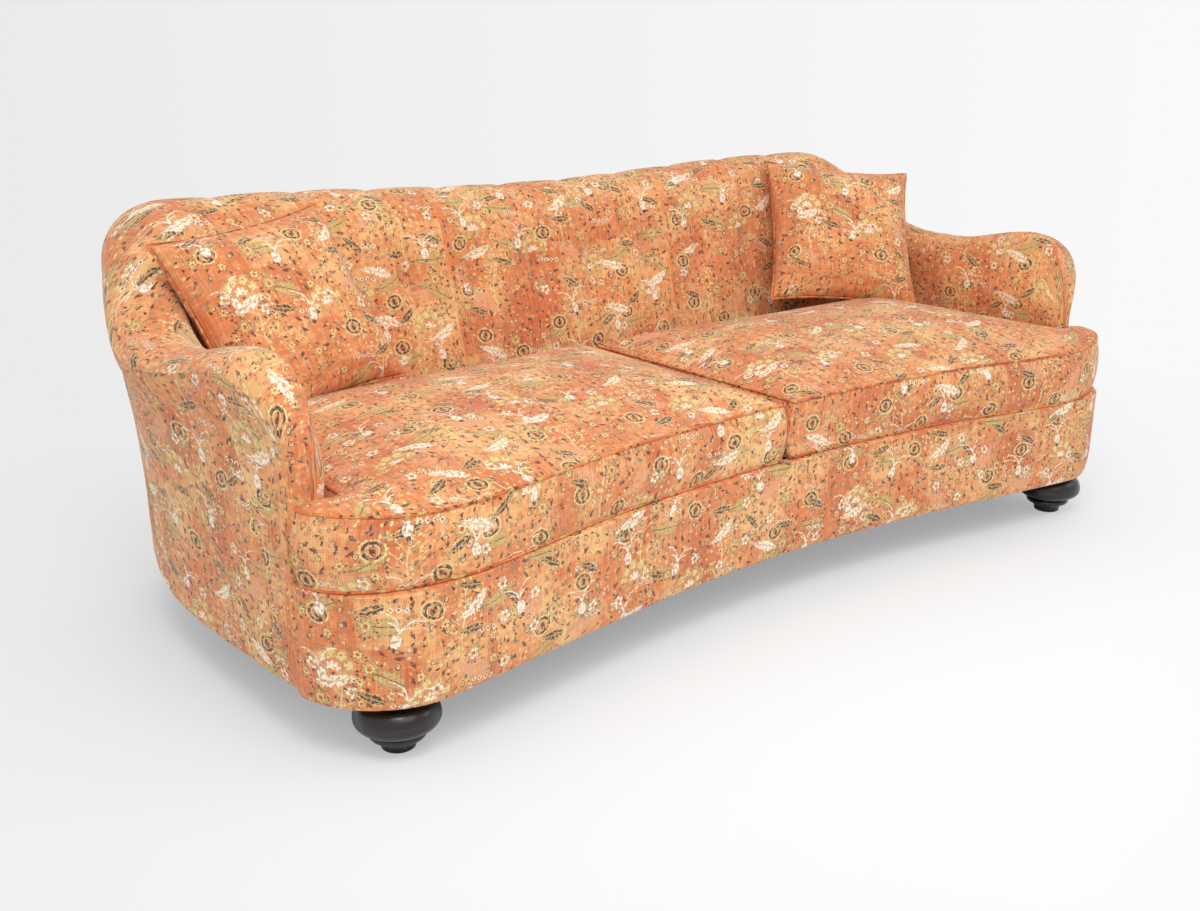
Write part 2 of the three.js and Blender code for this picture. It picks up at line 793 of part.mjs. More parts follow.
// A bar of rectangular section that follows the wall.
function wallBar(name, places, insets, heights, material) {
  const rings = places.map((place) => {
    const [near, far] = insets(place);
    const [low, high] = heights(place);
    return [at(place, near, low), at(place, far, low), at(place, far, high), at(place, near, high)];
  });
  add(name, loft(rings, sideView), material);
}

const rail_corner_points = 3; // of the border's corner that the front rail follows
const front_rail_back = border_thickness + gap + rail_thickness;
const railBack = (x) => borderFace(x) + front_rail_back;

function seatFrame() {
  const insets = () => [rail_inset, rail_inset + rail_thickness];
  const heights = () => [rail_bottom, rail_top];
  for (const [name, side] of sides) {
    const places = arm_places.map((place, i) => {
      const shifted = place + border_end * (1 - i / (arm_places.length - 1));
      return sided(shifted + seam_share * (i === 0), side);
    });
    wallBar("side_rail_" + name, places, insets, heights, beech);
  }
  wallBar("back_seat_rail", back_places, insets, heights, beech);
  const first = corner_steps - rail_corner_points;
  const rings = front_plan.slice(first, -first).map((_, k) => {
    const point = (inset, z) => frontPoint(k + first, border_thickness + gap + inset, z);
    return [
      point(0, rail_bottom),
      point(rail_thickness, rail_bottom),
      point(rail_thickness, rail_top),
      point(0, rail_top),
    ];
  });
  add("front_seat_rail", loft(rings, sideView), beech);
}

// Where the inner face of the back rail crosses a given distance from the middle.
function backRailFace(x) {
  let low = mid_back;
  let high = wall_end - back_corner_share;
  for (let i = 0; i < 40; i++) {
    const mid = (low + high) / 2;
    if (at(mid, rail_inset + rail_thickness, 0).x < x) low = mid;
    else high = mid;
  }
  return at(low, rail_inset + rail_thickness, 0).y;
}

function stretchers() {
  const half = stretcher_thickness / 2;
  for (const [name, side] of sides) {
    const ring = (end) =>
      [
        [-half, rail_bottom],
        [half, rail_bottom],
        [half, rail_top],
        [-half, rail_top],
      ].map(([off, z]) => {
        const x = stretcher_place + off;
        return new THREE.Vector3(side * x, end ? backRailFace(x) - gap : railBack(x) + 2 * gap, z);
      });
    add("centre_stretcher_" + name, loft([ring(0), ring(1)], frontView), beech);
  }
}

// A section seen from the front.
const frontView = (ring) => ring.map((p) => new THREE.Vector2(p.x, p.z));

const foot_place = {
  x: half_width - foot_side_inset,
  front: 0,
  rear: wall_depth - foot_rear_inset,
};

// Corner blocks, bored for the feet's bolts

function cylinder(radius, low, high, x, y) {
  const geometry = new THREE.CylinderGeometry(radius, radius, high - low, 12);
  geometry.rotateX(Math.PI / 2);
  geometry.translate(x, y, (low + high) / 2);
  return geometry;
}

// A front block fills the round corner between the border and the rails' ends.
function frontBlock(side) {
  const outer = steps(corner_steps).map((_, i) => frontPoint(i, border_thickness + gap, 0));
  const inner = foot_place.x - block_length / 2;
  const lap = border_return + block_lap;
  const half = [
    ...outer.map((p) => [-p.x, p.y]),
    [inner, outer[corner_steps].y],
    [inner, block_depth / 2],
    [foot_place.x, lap],
    [-outer[0].x, lap],
  ];
  const shape = new THREE.Shape(half.map(([x, y]) => new THREE.Vector2(side * x, y)));
  const block = new THREE.ExtrudeGeometry(shape, { depth: block_height, bevelEnabled: false });
  return block.translate(0, 0, rail_bottom);
}

const rearBlock = (side) =>
  new THREE.BoxGeometry(block_length, block_depth, block_height).translate(
    side * foot_place.x,
    foot_place.rear,
    rail_bottom + block_height / 2,
  );

function cornerBlocks() {
  const top = rail_bottom + block_height;
  for (const [name, side] of sides)
    for (const [end, block] of [
      ["front", frontBlock(side)],
      ["rear", rearBlock(side)],
    ]) {
      const [x, y] = [side * foot_place.x, foot_place[end]];
      const hole = cylinder(bolt_hole_radius, rail_bottom - overrun, top + overrun, x, y);
      let solid = toSolid(block).subtract(toSolid(hole));
      for (const bar of ["front_seat_rail", "back_seat_rail", "side_rail_" + name])
        solid = solid.subtract(toSolid(cleared(bar)));
      const pieces = solid.decompose().sort((a, b) => b.volume() - a.volume());
      add("corner_block_" + end + "_" + name, fromSolid(pieces[0]), beech);
    }
}

// A rail's shape, grown by a clearance along each vertex's normal.
function cleared(name) {
  const { geometry } = sofa.getObjectByName(name);
  const position = geometry.getAttribute("position").clone();
  const normal = geometry.getAttribute("normal");
  const [point, way] = [new THREE.Vector3(), new THREE.Vector3()];
  for (let i = 0; i < position.count; i++) {
    way.fromBufferAttribute(normal, i);
    point.fromBufferAttribute(position, i).addScaledVector(way, 2 * gap);
    position.setXYZ(i, point.x, point.y, point.z);
  }
  const grown = new THREE.BufferGeometry();
  grown.setAttribute("position", position);
  grown.setIndex(geometry.index.clone());
  return grown;
}

// Bun feet with their hanger bolts

function feet() {
  for (const [name, side] of sides)
    for (const end of ["front", "rear"]) {
      const [x, y] = [side * foot_place.x, foot_place[end]];
      const foot = new THREE.LatheGeometry(footProfile(), 16);
      foot.rotateX(Math.PI / 2);
      foot.translate(x, y, 0);
      add("bun_foot_" + end + "_" + name, tidy(foot), dark_wood);
      const bolt = cylinder(bolt_radius, foot_height - bolt_in_foot + gap, foot_height + bolt_in_block, x, y);
      add("foot_bolt_" + end + "_" + name, tidy(bolt), steel);
    }
}

// Half section of a foot from its base to the bolt hole in its top.
function footProfile() {
  const arc = (centre_x, centre_y, rx, ry, from, to, count) =>
    steps(count).map((k) => {
      const turn = THREE.MathUtils.degToRad(mix(from, to, k));
      return new THREE.Vector2(centre_x + rx * Math.cos(turn), centre_y + ry * Math.sin(turn));
    });
  const collar_low = foot_height - collar_height;
  const collar_half = collar_height / 2;
  const belly_high = collar_low - collar_height / 3;
  const belly_low = bead_height + bead_height / 3;
  const belly_width = foot_radius - neck_radius;
  const bead_half = bead_height / 4;
  return [
    new THREE.Vector2(0, 0),
    new THREE.Vector2(base_radius, 0),
    ...arc(bead_radius, 0, bead_radius - base_radius, bead_height - bead_half, 180, 110, 3),
    ...arc(bead_radius - bead_half, bead_height, bead_half, bead_half, -60, 60, 2),
    ...arc(neck_radius, foot_belly_height, belly_width, foot_belly_height - belly_low, -80, 0, 4),
    ...arc(neck_radius, foot_belly_height, belly_width, belly_high - foot_belly_height, 16, 84, 3),
    new THREE.Vector2(neck_radius, collar_low),
    ...arc(collar_radius - collar_half, foot_height - collar_half, collar_half, collar_half, -80, 80, 3),
    new THREE.Vector2(collar_radius - collar_half, foot_height),
    new THREE.Vector2(bolt_hole_radius, foot_height),
    new THREE.Vector2(bolt_hole_radius, foot_height - bolt_in_foot),
    new THREE.Vector2(0, foot_height - bolt_in_foot),
  ];
}

// Suspension and deck

const spring_tension_share = 0.9;

// A zigzag wire from the front rail to the back rail, arched up in the middle.
function spring(name, x) {
  const y0 = railBack(x) - spring_rest;
  const y1 = backRailFace(Math.abs(x)) + spring_rest;
  const bends = Math.round((y1 - y0 - 2 * spring_rest) / (spring_pitch / 2));
  const points = [new THREE.Vector3(x, y0, 0)];
  for (const along of steps(2 * bends)) {
    const k = Math.round(along * 2 * bends);
    const swing = [0, spring_swing, 0, -spring_swing][k % 4];
    const y = mix(y0 + spring_rest, y1 - spring_rest, along);
    points.push(new THREE.Vector3(x + swing, y, spring_arch * Math.sin(Math.PI * along)));
  }
  points.push(new THREE.Vector3(x, y1, 0));
  const r = spring_wire / 2;
  const corners = [
    [r, 0],
    [0, r],
    [-r, 0],
    [0, -r],
  ];
  const wire = new THREE.ExtrudeGeometry(new THREE.Shape(corners.map((p) => new THREE.Vector2(...p))), {
    steps: points.length - 1,
    extrudePath: new THREE.CatmullRomCurve3(points, false, "catmullrom", spring_tension_share),
    bevelEnabled: false,
  });
  wire.translate(0, 0, spring_bottom + r);
  add(name, tidy(wire), steel);
}

function springs() {
  const last_place = half_width - last_spring_inset;
  for (const [name, side] of sides)
    steps(springs_per_seat - 1).forEach((k, i) => {
      spring("seat_spring_" + name + "_" + (i + 1), side * mix(first_spring_place, last_place, k));
    });
}

const deck_place_shares = [0.2, 0.8, 1.8, 3, 4, 5, 5.8, 6.5, 7.2, 8, 9, 10, mid_back]; // of the plan's step

function deck() {
  const places = deck_place_shares.map((share) => wall_end - share);
  const right = places.map((place) => at(place, wall(place).width + face_crown, 0));
  const first = corner_steps;
  const inset = border_thickness + gap;
  const front = front_plan.slice(first, -first).map((_, k) => frontPoint(k + first, inset, 0));
  const left = right.slice(0, -1).map((p) => new THREE.Vector3(-p.x, p.y, 0));
  const outline = [...front, ...right, ...left.reverse()];
  const shape = new THREE.Shape(outline.map((p) => new THREE.Vector2(p.x, p.y)));
  const geometry = new THREE.ExtrudeGeometry(shape, { depth: deck_thickness, bevelEnabled: false });
  geometry.translate(0, 0, deck_bottom);
  add("seat_deck", tidy(geometry), deck_cloth);
}

// Thin cloth under the frame, with a hole for each foot's bolt
function dustCover() {
  const front = front_plan.map((_, i) => frontPoint(i, cover_inset, 0));
  const rear = steps(22).map((k) => at(mix(wall_end - border_end, border_end, k), cover_inset, 0));
  const shape = new THREE.Shape([...front, ...rear.slice(1, -1)].map((p) => new THREE.Vector2(p.x, p.y)));
  for (const side of [-1, 1])
    for (const y of [foot_place.front, foot_place.rear]) {
      const hole = new THREE.Path();
      hole.absarc(side * foot_place.x, y, bolt_hole_radius, 0, 2 * Math.PI, true);
      shape.holes.push(hole);
    }
  const geometry = new THREE.ExtrudeGeometry(shape, {
    depth: cover_thickness,
    bevelEnabled: false,
    curveSegments: 8,
  });
  geometry.translate(0, 0, foot_height + gap);
  add("dust_cover", tidy(geometry), lining_cloth);
}

// Ribs and top rails inside the back and arms

const topRailInsets = (place) => {
  const middle = section(place).crest_inset - top_rail_offset;
  return [middle - top_rail_width / 2, middle + top_rail_width / 2];
};
const topRailHeights = (place) => {
  const high = Math.min(...topRailInsets(place).map((inset) => liningHeight(place, inset))) - gap;
  return [high - top_rail_height, high];
};

// The top rails' ends, counted in stations of the arms and the back
const arm_rail_last = 6;
const shoulder_stations = 3;

function topRails() {
  const bar = (name, places) => wallBar(name, places, topRailInsets, topRailHeights, plywood);
  const arm = arm_places.slice(1, arm_rail_last + 1);
  const shoulder = [...arm_places.slice(arm_rail_last), ...back_places.slice(1, shoulder_stations + 1)];
  shoulder[0] += seam_share;
  for (const [name, side] of sides) {
    bar("arm_top_rail_" + name, arm.map((place) => sided(place, side)));
    bar("shoulder_rail_" + name, shoulder.map((place) => sided(place, side)));
  }
  const back = back_places.slice(shoulder_stations, -shoulder_stations);
  back[0] += seam_share;
  back[back.length - 1] -= seam_share;
  bar("back_top_rail", back);
}

const rib_pad_shares = [0, 0.12, 0.22, 0.32, 0.42];
const rib_cover_shares = [0.25, 0.5, 0.75];

function rib(name, place) {
  const { outer: origin, inward } = wall(place);
  const half = rib_thickness / 2;
  const reach = half / plan_step;
  const stations = [place - reach, place, place + reach];
  const across = (station, n) => at(station, n, 0).sub(origin).dot(inward);
  const top = Math.min(...stations.map((q) => topRailHeights(2 * q - place)[0])) - 3 * gap;
  const [near_top, far_top] = topRailInsets(place);
  const cover = (z) => {
    const behind = stations.map((q) => across(q, panelInset(q, z) + panel_thickness));
    return [Math.max(...behind) + rib_clearance, z];
  };
  const pad = (t) => {
    const before = stations.map((q) => across(q, lining(q, t)[0]));
    return [Math.min(...before) - rib_clearance, lining(place, t)[1]];
  };
  const below = ([n, z]) => z < top - top_rail_height && n > far_top;
  const inside = rib_pad_shares.map(pad).filter(below);
  const cover_top = section(place).seam_height - seam_pad;
  const outer = rib_cover_shares.map((share) => cover(mix(rail_top, cover_top, share)));
  const foot = spring_bottom;
  const outline = [
    [rail_inset, foot],
    [rail_inset + rib_foot, foot],
    ...inside,
    [far_top, top],
    [near_top, top],
    ...outer.reverse(),
  ];
  const way = new THREE.Vector3(-inward.y, inward.x, 0);
  const rings = [-half, half].map((off) =>
    outline.map(([n, z]) => origin.clone().addScaledVector(inward, n).addScaledVector(way, off).setZ(z)),
  );
  const view = () => outline.map(([n, z]) => new THREE.Vector2(n, z));
  add(name, loft(rings, view), plywood);
}

const corner_rib_count = 11; // stations of the arm from its front to the corner's rib
const back_end_rib_share = 8.2; // of the plan's step
const back_rib_share = 10;

function ribs() {
  for (const [name, side] of sides) {
    rib("arm_front_rib_" + name, sided(arm_places[1], side));
    rib("arm_rear_rib_" + name, sided(arm_places[arm_rail_last], side));
    rib("corner_rib_" + name, sided(arm_places[corner_rib_count], side));
    rib("back_end_rib_" + name, sided(back_end_rib_share, side));
    rib("back_rib_" + name, sided(back_rib_share, side));
  }
}

insideBack();
outsideCovers();
for (const [name, side] of sides) {
  insideArm(name, side);
  armFront(name, side);
  seatCushion(name, side);
}
scatterCushion("left", -1, scatter_left_place, scatter_left_turn_shares);
scatterCushion("right", 1, scatter_right_place, scatter_right_turn_shares);
frontBorder();
seatFrame();
stretchers();
cornerBlocks();
feet();
springs();
deck();
dustCover();
topRails();
ribs();

// The origin is the middle of the footprint, on the floor.
const box = new THREE.Box3().setFromObject(sofa);
sofa.position.set(0, -(box.min.y + box.max.y) / 2, 0);

export default sofa;
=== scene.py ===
"""A curved two-seat sofa in printed cloth: covers, cushions, feet and stage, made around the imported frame."""
import json
import math

import bmesh
import bpy
import numpy as np
from mathutils import Matrix, Vector, geometry, noise


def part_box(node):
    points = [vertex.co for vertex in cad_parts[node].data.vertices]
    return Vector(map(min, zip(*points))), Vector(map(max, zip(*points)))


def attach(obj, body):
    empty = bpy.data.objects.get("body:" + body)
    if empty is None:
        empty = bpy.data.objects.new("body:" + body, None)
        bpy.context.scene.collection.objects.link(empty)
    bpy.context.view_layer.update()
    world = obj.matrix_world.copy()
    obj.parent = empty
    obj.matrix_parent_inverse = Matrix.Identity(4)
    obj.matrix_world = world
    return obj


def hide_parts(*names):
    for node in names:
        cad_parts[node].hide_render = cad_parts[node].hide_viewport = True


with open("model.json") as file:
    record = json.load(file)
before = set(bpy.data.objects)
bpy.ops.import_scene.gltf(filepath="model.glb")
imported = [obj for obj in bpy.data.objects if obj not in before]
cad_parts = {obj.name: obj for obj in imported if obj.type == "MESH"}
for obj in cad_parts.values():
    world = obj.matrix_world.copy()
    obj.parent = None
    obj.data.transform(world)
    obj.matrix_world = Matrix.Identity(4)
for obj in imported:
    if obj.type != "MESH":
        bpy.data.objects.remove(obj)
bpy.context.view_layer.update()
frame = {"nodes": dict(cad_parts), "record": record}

bl_info = {
    "name": "Curved sofa",
    "version": (1, 0, 0),
    "blender": (4, 5, 0),
    "location": "View3D > Sidebar > Sofa",
    "description": "Upholsters and dresses a curved two-seat sofa on its frame",
    "category": "Object",
}

# Whole body, in metres
HALF_WIDTH = 1.122
WALL_DEPTH = 1.004
FOOT_HEIGHT = 0.113
SEAT_BOTTOM = 0.315
ARM_HEIGHT = 0.634
ARM_FRONT_SWELL = 0.042
BACK_HEIGHT = 0.838
BACK_DIP = 0.024
GAP = 0.0003

# Front curve
FRONT_SETBACK = 0.004
FRONT_SWEEP = 0.118
SEAT_SETBACK = 0.017
SEAT_SWEEP = 0.138
FLATTENING_SHARE = 0.47

# Upholstery over the back and arms
ARM_PAD = 0.022
BACK_PAD = 0.052
CREST_PAD = 0.029
SEAM_PAD = 0.012
PANEL_FLARE_ARM = 0.028
PANEL_FLARE_BACK = 0.008
BOTTOM_TUCK = 0.012
TUCK_HEIGHT = 0.070
CREST_INSET_ARM = 0.056
CREST_INSET_BACK = 0.098
BACK_LEAN = 0.102
FACE_CROWN = 0.009
SHOULDER_DROP_ARM = 0.078
SHOULDER_DROP_BACK = 0.122
SEAM_DROP_ARM = 0.034
SEAM_DROP_BACK = 0.060
PAD_FOOT = 0.2786

# Blind tufts
TUFT_COUNT = 10
TUFT_SPACING = 0.181
TUFT_HEIGHT = 0.630
TUFT_DEPTH = 0.024
TUFT_REACH = 0.046
BROAD_SHARE = 0.45
CREASE_SHARE = 0.55
PLEAT_DEPTH = 0.0085
PLEAT_WIDTH = 0.014
PLEAT_BELOW_SHARE = 0.7
PLEAT_BELOW_REACH = 2.2 * TUFT_REACH

# Arm fronts
NOSE_LENGTH = 0.054
NOSE_TOP_DROP = 0.190
TAPER_START = 1.1
TAPER_SQUARENESS = 3.0
TAPER_FULL_HEIGHT = 0.46
ARM_BULGE = 0.016
ARM_BULGE_HEIGHT = 0.530
ARM_BULGE_REACH = 0.055
ARM_BULGE_END = (1.5, 4.0)

# Front border
BORDER_THICKNESS = 0.027
BORDER_EDGE_ROUND = 0.005
BORDER_CORNER_HALF_WIDTH = 1.099
BORDER_CORNER_RADIUS = 0.195
BORDER_RETURN = 0.070
BORDER_SKIN = 0.0009
COVER_INSET = 0.052

# Lean of the outside walls, out at the top and in at the foot, over spans of height and of place
WALL_TOP_OUT = 0.020
TOP_OUT_RISE = (0.38, 0.60)
TOP_OUT_START = (1.6, 3.6)
TOP_OUT_END = (7.6, 9.5)
WALL_FOOT_IN = 0.0175
FOOT_IN_RISE = (0.22, 0.52)
FOOT_IN_START = (0.4, 2.6)
LEAN_DEPTH = 0.1
BOTTOM_DROP = 0.005
BOTTOM_ROLL = 0.05
MOST_INSET = 0.0183
MOST_INSET_HEIGHT = 0.3

# Seat cushions
CUSHION_HALF_WIDTH = 1.103
CUSHION_BORDER = 0.124
CUSHION_CROWN = 0.056
CUSHION_BULGE = 0.013
BULGE_REACH = 0.03
BULGE_SQUARENESS = 2.2
CUSHION_SEAM_GAP = 0.003
CROWN_REACH = 0.35
CROWN_POWER = 2.8
CROWN_SEAM_SLOPE = 2.4
EAR_LIFT = 0.008
EAR_LIFT_SPAN = (0.92, 1.08)
EAR_DEPTH = 0.060
EAR_CORNER_WIDTH = 0.271
EAR_CORNER_LENGTH = 0.180
EAR_TIP_RADIUS = 0.014
EAR_POWER_SHARE = 0.83
CUSHION_WALL_GAP = 0.005

# Plan of the body, as shares of HALF_WIDTH and WALL_DEPTH, from the arm's front to mid back
OUTER_WALL_SHARES = [
    (0.975, 0.118), (0.986, 0.226), (0.9965, 0.349), (1.0, 0.472), (0.994, 0.595), (0.978, 0.708),
    (0.955, 0.81), (0.921, 0.917), (0.86, 0.978), (0.722, 0.992), (0.361, 0.998), (0.0, 1.0),
]
INNER_FACE_SHARES = [
    (0.906, 0.118), (0.905, 0.226), (0.904, 0.338), (0.901, 0.431), (0.894, 0.513), (0.877, 0.58),
    (0.849, 0.628), (0.808, 0.656), (0.748, 0.672), (0.642, 0.681), (0.33, 0.691), (0.0, 0.695),
]
MID_BACK = len(OUTER_WALL_SHARES) - 1
WALL_END = 2 * MID_BACK
BACK_CORNER = 6.6
RISE = (3.5, 8.1)
SWELL = (0.6, 3.0)
DIP_START = 9.0
BLEND = (3.4, 8.0)
FACE_SHARE = 0.46
CREST_SHARE = 0.7
BULGE_SHARE = FACE_SHARE + 0.1
REAR_SPAN = (0.6, 10.4)

SIDES = (("left", -1), ("right", 1))
CORNERS = ("front_left", "front_right", "rear_left", "rear_right")
SHARP_ANGLE = math.radians(55)
RUN_TABLE_STEPS = 1200

# The feet stand in line with the plan's own zero, which the frame has moved back.
FOOT_LOW, FOOT_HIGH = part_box("bun_foot_front_left")
PLAN_SHIFT = (FOOT_LOW.y + FOOT_HIGH.y) / 2


def mix(a, b, k):
    return a + (b - a) * k


def ease(x, low, high):
    k = np.clip((x - low) / (high - low), 0, 1)
    return k * k * (3 - 2 * k)


def hump(x, reach):
    return np.exp(-((x / reach) ** 2))


# Plan curves


class PlanCurve:
    """A curve through the plan's points that keeps close to them where they are close together."""

    def __init__(self, shares):
        half = np.array(shares) * (HALF_WIDTH, WALL_DEPTH)
        whole = np.vstack([half * (-1, 1), half[:-1][::-1]])
        first, last = 2 * whole[0] - whole[1], 2 * whole[-1] - whole[-2]
        self.points = np.vstack([first, whole, last])
        self.spans = len(whole) - 1

    def point(self, along):
        run = np.clip(along, 0, 1) * self.spans
        span = np.minimum(run.astype(int), self.spans - 1)
        k = (run - span)[..., None]
        p = [self.points[span + i] for i in range(4)]
        d = [np.linalg.norm(p[i + 1] - p[i], axis=-1)[..., None] ** 0.5 for i in range(3)]
        start = ((p[1] - p[0]) / d[0] - (p[2] - p[0]) / (d[0] + d[1]) + (p[2] - p[1]) / d[1]) * d[1]
        end = ((p[2] - p[1]) / d[1] - (p[3] - p[1]) / (d[1] + d[2]) + (p[3] - p[2]) / d[2]) * d[1]
        square = -3 * p[1] + 3 * p[2] - 2 * start - end
        cube = 2 * p[1] - 2 * p[2] + start + end
        return p[1] + k * (start + k * (square + k * cube))

    def heading(self, along):
        step = 1e-4
        way = self.point(np.minimum(along + step, 1)) - self.point(np.maximum(along - step, 0))
        return way / np.linalg.norm(way, axis=-1)[..., None]


OUTER_CURVE = PlanCurve(OUTER_WALL_SHARES)
INNER_CURVE = PlanCurve(INNER_FACE_SHARES)
ARM_END = OUTER_WALL_SHARES[0][1] * WALL_DEPTH
PLAN_STEP = OUTER_WALL_SHARES[1][1] * WALL_DEPTH - ARM_END
SEAM_SHARE = GAP / PLAN_STEP
BORDER_END = (BORDER_RETURN - ARM_END) / PLAN_STEP


def wall(place):
    """Outer wall point, inward direction, width and forward direction at places round the plan."""
    place = np.asarray(place, float)
    beyond = np.minimum(0, np.minimum(place, WALL_END - place))
    along = np.clip(place / WALL_END, 0, 1)
    forward = OUTER_CURVE.heading(along) * np.where(place > MID_BACK, 1, -1)[..., None]
    shift = forward * (-beyond * PLAN_STEP)[..., None]
    outer = OUTER_CURVE.point(along) + shift
    across = INNER_CURVE.point(along) + shift - outer
    width = np.linalg.norm(across, axis=-1)
    return outer, across / width[..., None], width, forward


def at(place, inset, height):
    """Points by place, depth in from the wall and height, in the frame's own coordinates."""
    outer, inward, _, _ = wall(place)
    flat = outer + inward * np.asarray(inset, float)[..., None]
    height = np.broadcast_to(height, flat.shape[:-1])
    return np.stack([flat[..., 0], flat[..., 1] + PLAN_SHIFT, height], -1)


def fold(place):
    return MID_BACK - np.abs(place - MID_BACK)


def section(place):
    """Sizes of the upholstery's section at places round the plan."""
    q = fold(np.asarray(place, float))
    b = ease(q, *BLEND)
    top = (
        ARM_HEIGHT
        + (BACK_HEIGHT - ARM_HEIGHT) * ease(q, *RISE)
        + ARM_FRONT_SWELL * (1 - ease(q, *SWELL))
        - BACK_DIP * ease(q, DIP_START, MID_BACK)
    )
    width = wall(place)[2]
    return {
        "width": width,
        "top": top,
        "shoulder": width - BACK_LEAN * b,
        "shoulder_height": top - mix(SHOULDER_DROP_ARM, SHOULDER_DROP_BACK, b),
        "crest_inset": mix(CREST_INSET_ARM, CREST_INSET_BACK, b),
        "flare": mix(PANEL_FLARE_ARM, PANEL_FLARE_BACK, b),
        "seam_height": top - mix(SEAM_DROP_ARM, SEAM_DROP_BACK, b),
        "pad": mix(ARM_PAD, BACK_PAD, b),
        "backness": b,
    }


def turns(t):
    """Share of the rise up the face, quarter turn up to the crest and quarter turn down from it, by t."""
    rise = np.clip((t - FACE_SHARE) / (CREST_SHARE - FACE_SHARE), 0, 1) * (math.pi / 2)
    fall = np.clip((t - CREST_SHARE) / (1 - CREST_SHARE), 0, 1) * (math.pi / 2)
    return np.clip(t / FACE_SHARE, 0, 1), rise, fall


def joined(t, face, inner, outer):
    """Depth and height from the face's, up to the crest and over it, by t."""
    parts = zip(face, inner, outer)
    return [np.where(t <= FACE_SHARE, a, np.where(t <= CREST_SHARE, b, c)) for a, b, c in parts]


def skin(place, t):
    """Depth and height of the padding's skin. t runs from 0 at the foot over the crest to 1 at the seam."""
    s = section(place)
    k, rise, fall = turns(t)
    depth = mix(s["width"], s["shoulder"], k) + FACE_CROWN * np.sin(math.pi * k)
    face = (depth, mix(PAD_FOOT, s["shoulder_height"], k))
    inner = (
        s["crest_inset"] + (s["shoulder"] - s["crest_inset"]) * np.cos(rise),
        s["shoulder_height"] + (s["top"] - s["shoulder_height"]) * np.sin(rise),
    )
    outer = (
        s["crest_inset"] - (s["crest_inset"] + s["flare"]) * np.sin(fall),
        s["seam_height"] + (s["top"] - s["seam_height"]) * np.cos(fall),
    )
    return joined(t, face, inner, outer)


def lining(place, t):
    """Depth and height of the padding's underside, by the same shares as the skin."""
    s = section(place)
    k, rise, fall = turns(t)
    face_n = s["shoulder"] - s["pad"]
    crest_n = np.minimum(s["crest_inset"], face_n)
    top = s["top"] - CREST_PAD
    face = (mix(s["width"], s["shoulder"], k) - s["pad"], mix(PAD_FOOT, s["shoulder_height"], k))
    inner = (mix(crest_n, face_n, np.cos(rise)), mix(s["shoulder_height"], top, np.sin(rise)))
    outer = (mix(crest_n, SEAM_PAD - s["flare"], np.sin(fall)), mix(s["seam_height"], top, np.cos(fall)))
    return joined(t, face, inner, outer)


def wall_lean(q, height):
    """How far the outside covers lean in towards the foot and out towards the crest."""
    foot_in = WALL_FOOT_IN * (1 - ease(height, *FOOT_IN_RISE)) * ease(q, *FOOT_IN_START)
    top_out = WALL_TOP_OUT * ease(height, *TOP_OUT_RISE) * ease(q, *TOP_OUT_START)
    return foot_in - top_out * (1 - ease(q, *TOP_OUT_END))


def lowered(height):
    """Heights with the covers' bottom edges rolled a little under the body."""
    return height - BOTTOM_DROP * (1 - ease(height, FOOT_HEIGHT, FOOT_HEIGHT + BOTTOM_ROLL))


def arm_bulge(z, t):
    """How far the padding swells out of an arm's inner face."""
    return ARM_BULGE * hump(z - ARM_BULGE_HEIGHT, ARM_BULGE_REACH) * (t < BULGE_SHARE)


NOSE_START = TAPER_START / (TAPER_START + NOSE_LENGTH / PLAN_STEP)


def taper_size(k):
    return np.maximum(1 - np.clip(k, 0, 1) ** TAPER_SQUARENESS, 0) ** (1 / TAPER_SQUARENESS)


def tapered(place, n, height):
    """Depth and height near an arm's front, where the section draws in towards the nose's tip."""
    q = fold(np.asarray(place, float))
    s = section(np.zeros(1))
    low, top, width = SEAT_BOTTOM, s["top"][0], s["width"][0]
    size = taper_size(np.clip((TAPER_START - q) / TAPER_START, 0, 1) * NOSE_START)
    share = np.clip((height - low) / (top - low), 0, 1)
    centre = mix(low, top - NOSE_TOP_DROP, share)
    upper = ease(height, low, TAPER_FULL_HEIGHT)
    sunk = np.where(height > low, centre + (height - centre) * size, height)
    drawn = width / 2 + (n - width / 2) * (1 - upper * (1 - size))
    return np.where(q < TAPER_START, drawn, n), np.where(q < TAPER_START, sunk, height)


def shaped(place, n, height):
    """Points of the covers, with the wall's lean and the taper of the arms' fronts."""
    q = fold(np.asarray(place, float))
    n, height = tapered(place, n, height)
    outer = np.clip(1 - n / LEAN_DEPTH, 0, 1)
    return at(place, n + wall_lean(q, height) * outer, height)


def running(points):
    """Length run along the last but one axis of an array of points, from 0."""
    steps = np.linalg.norm(np.diff(points, axis=-2), axis=-1)
    return np.concatenate([np.zeros(steps.shape[:-1] + (1,)), np.cumsum(steps, -1)], -1)


def closed(points):
    """A closed outline's points, with the first one again at the end."""
    return np.concatenate([points, points[:1]])


def run_along_face():
    """Tables of place and of length run along the middle of the padded face."""
    places = np.linspace(-1, WALL_END + 1, RUN_TABLE_STEPS)
    n, z = skin(places, np.full_like(places, FACE_SHARE / 2))
    return places, running(at(places, n, z)[:, :2])


FACE_PLACES, FACE_RUN = run_along_face()


def print_run(place):
    return np.interp(place, FACE_PLACES, FACE_RUN)


# Meshes


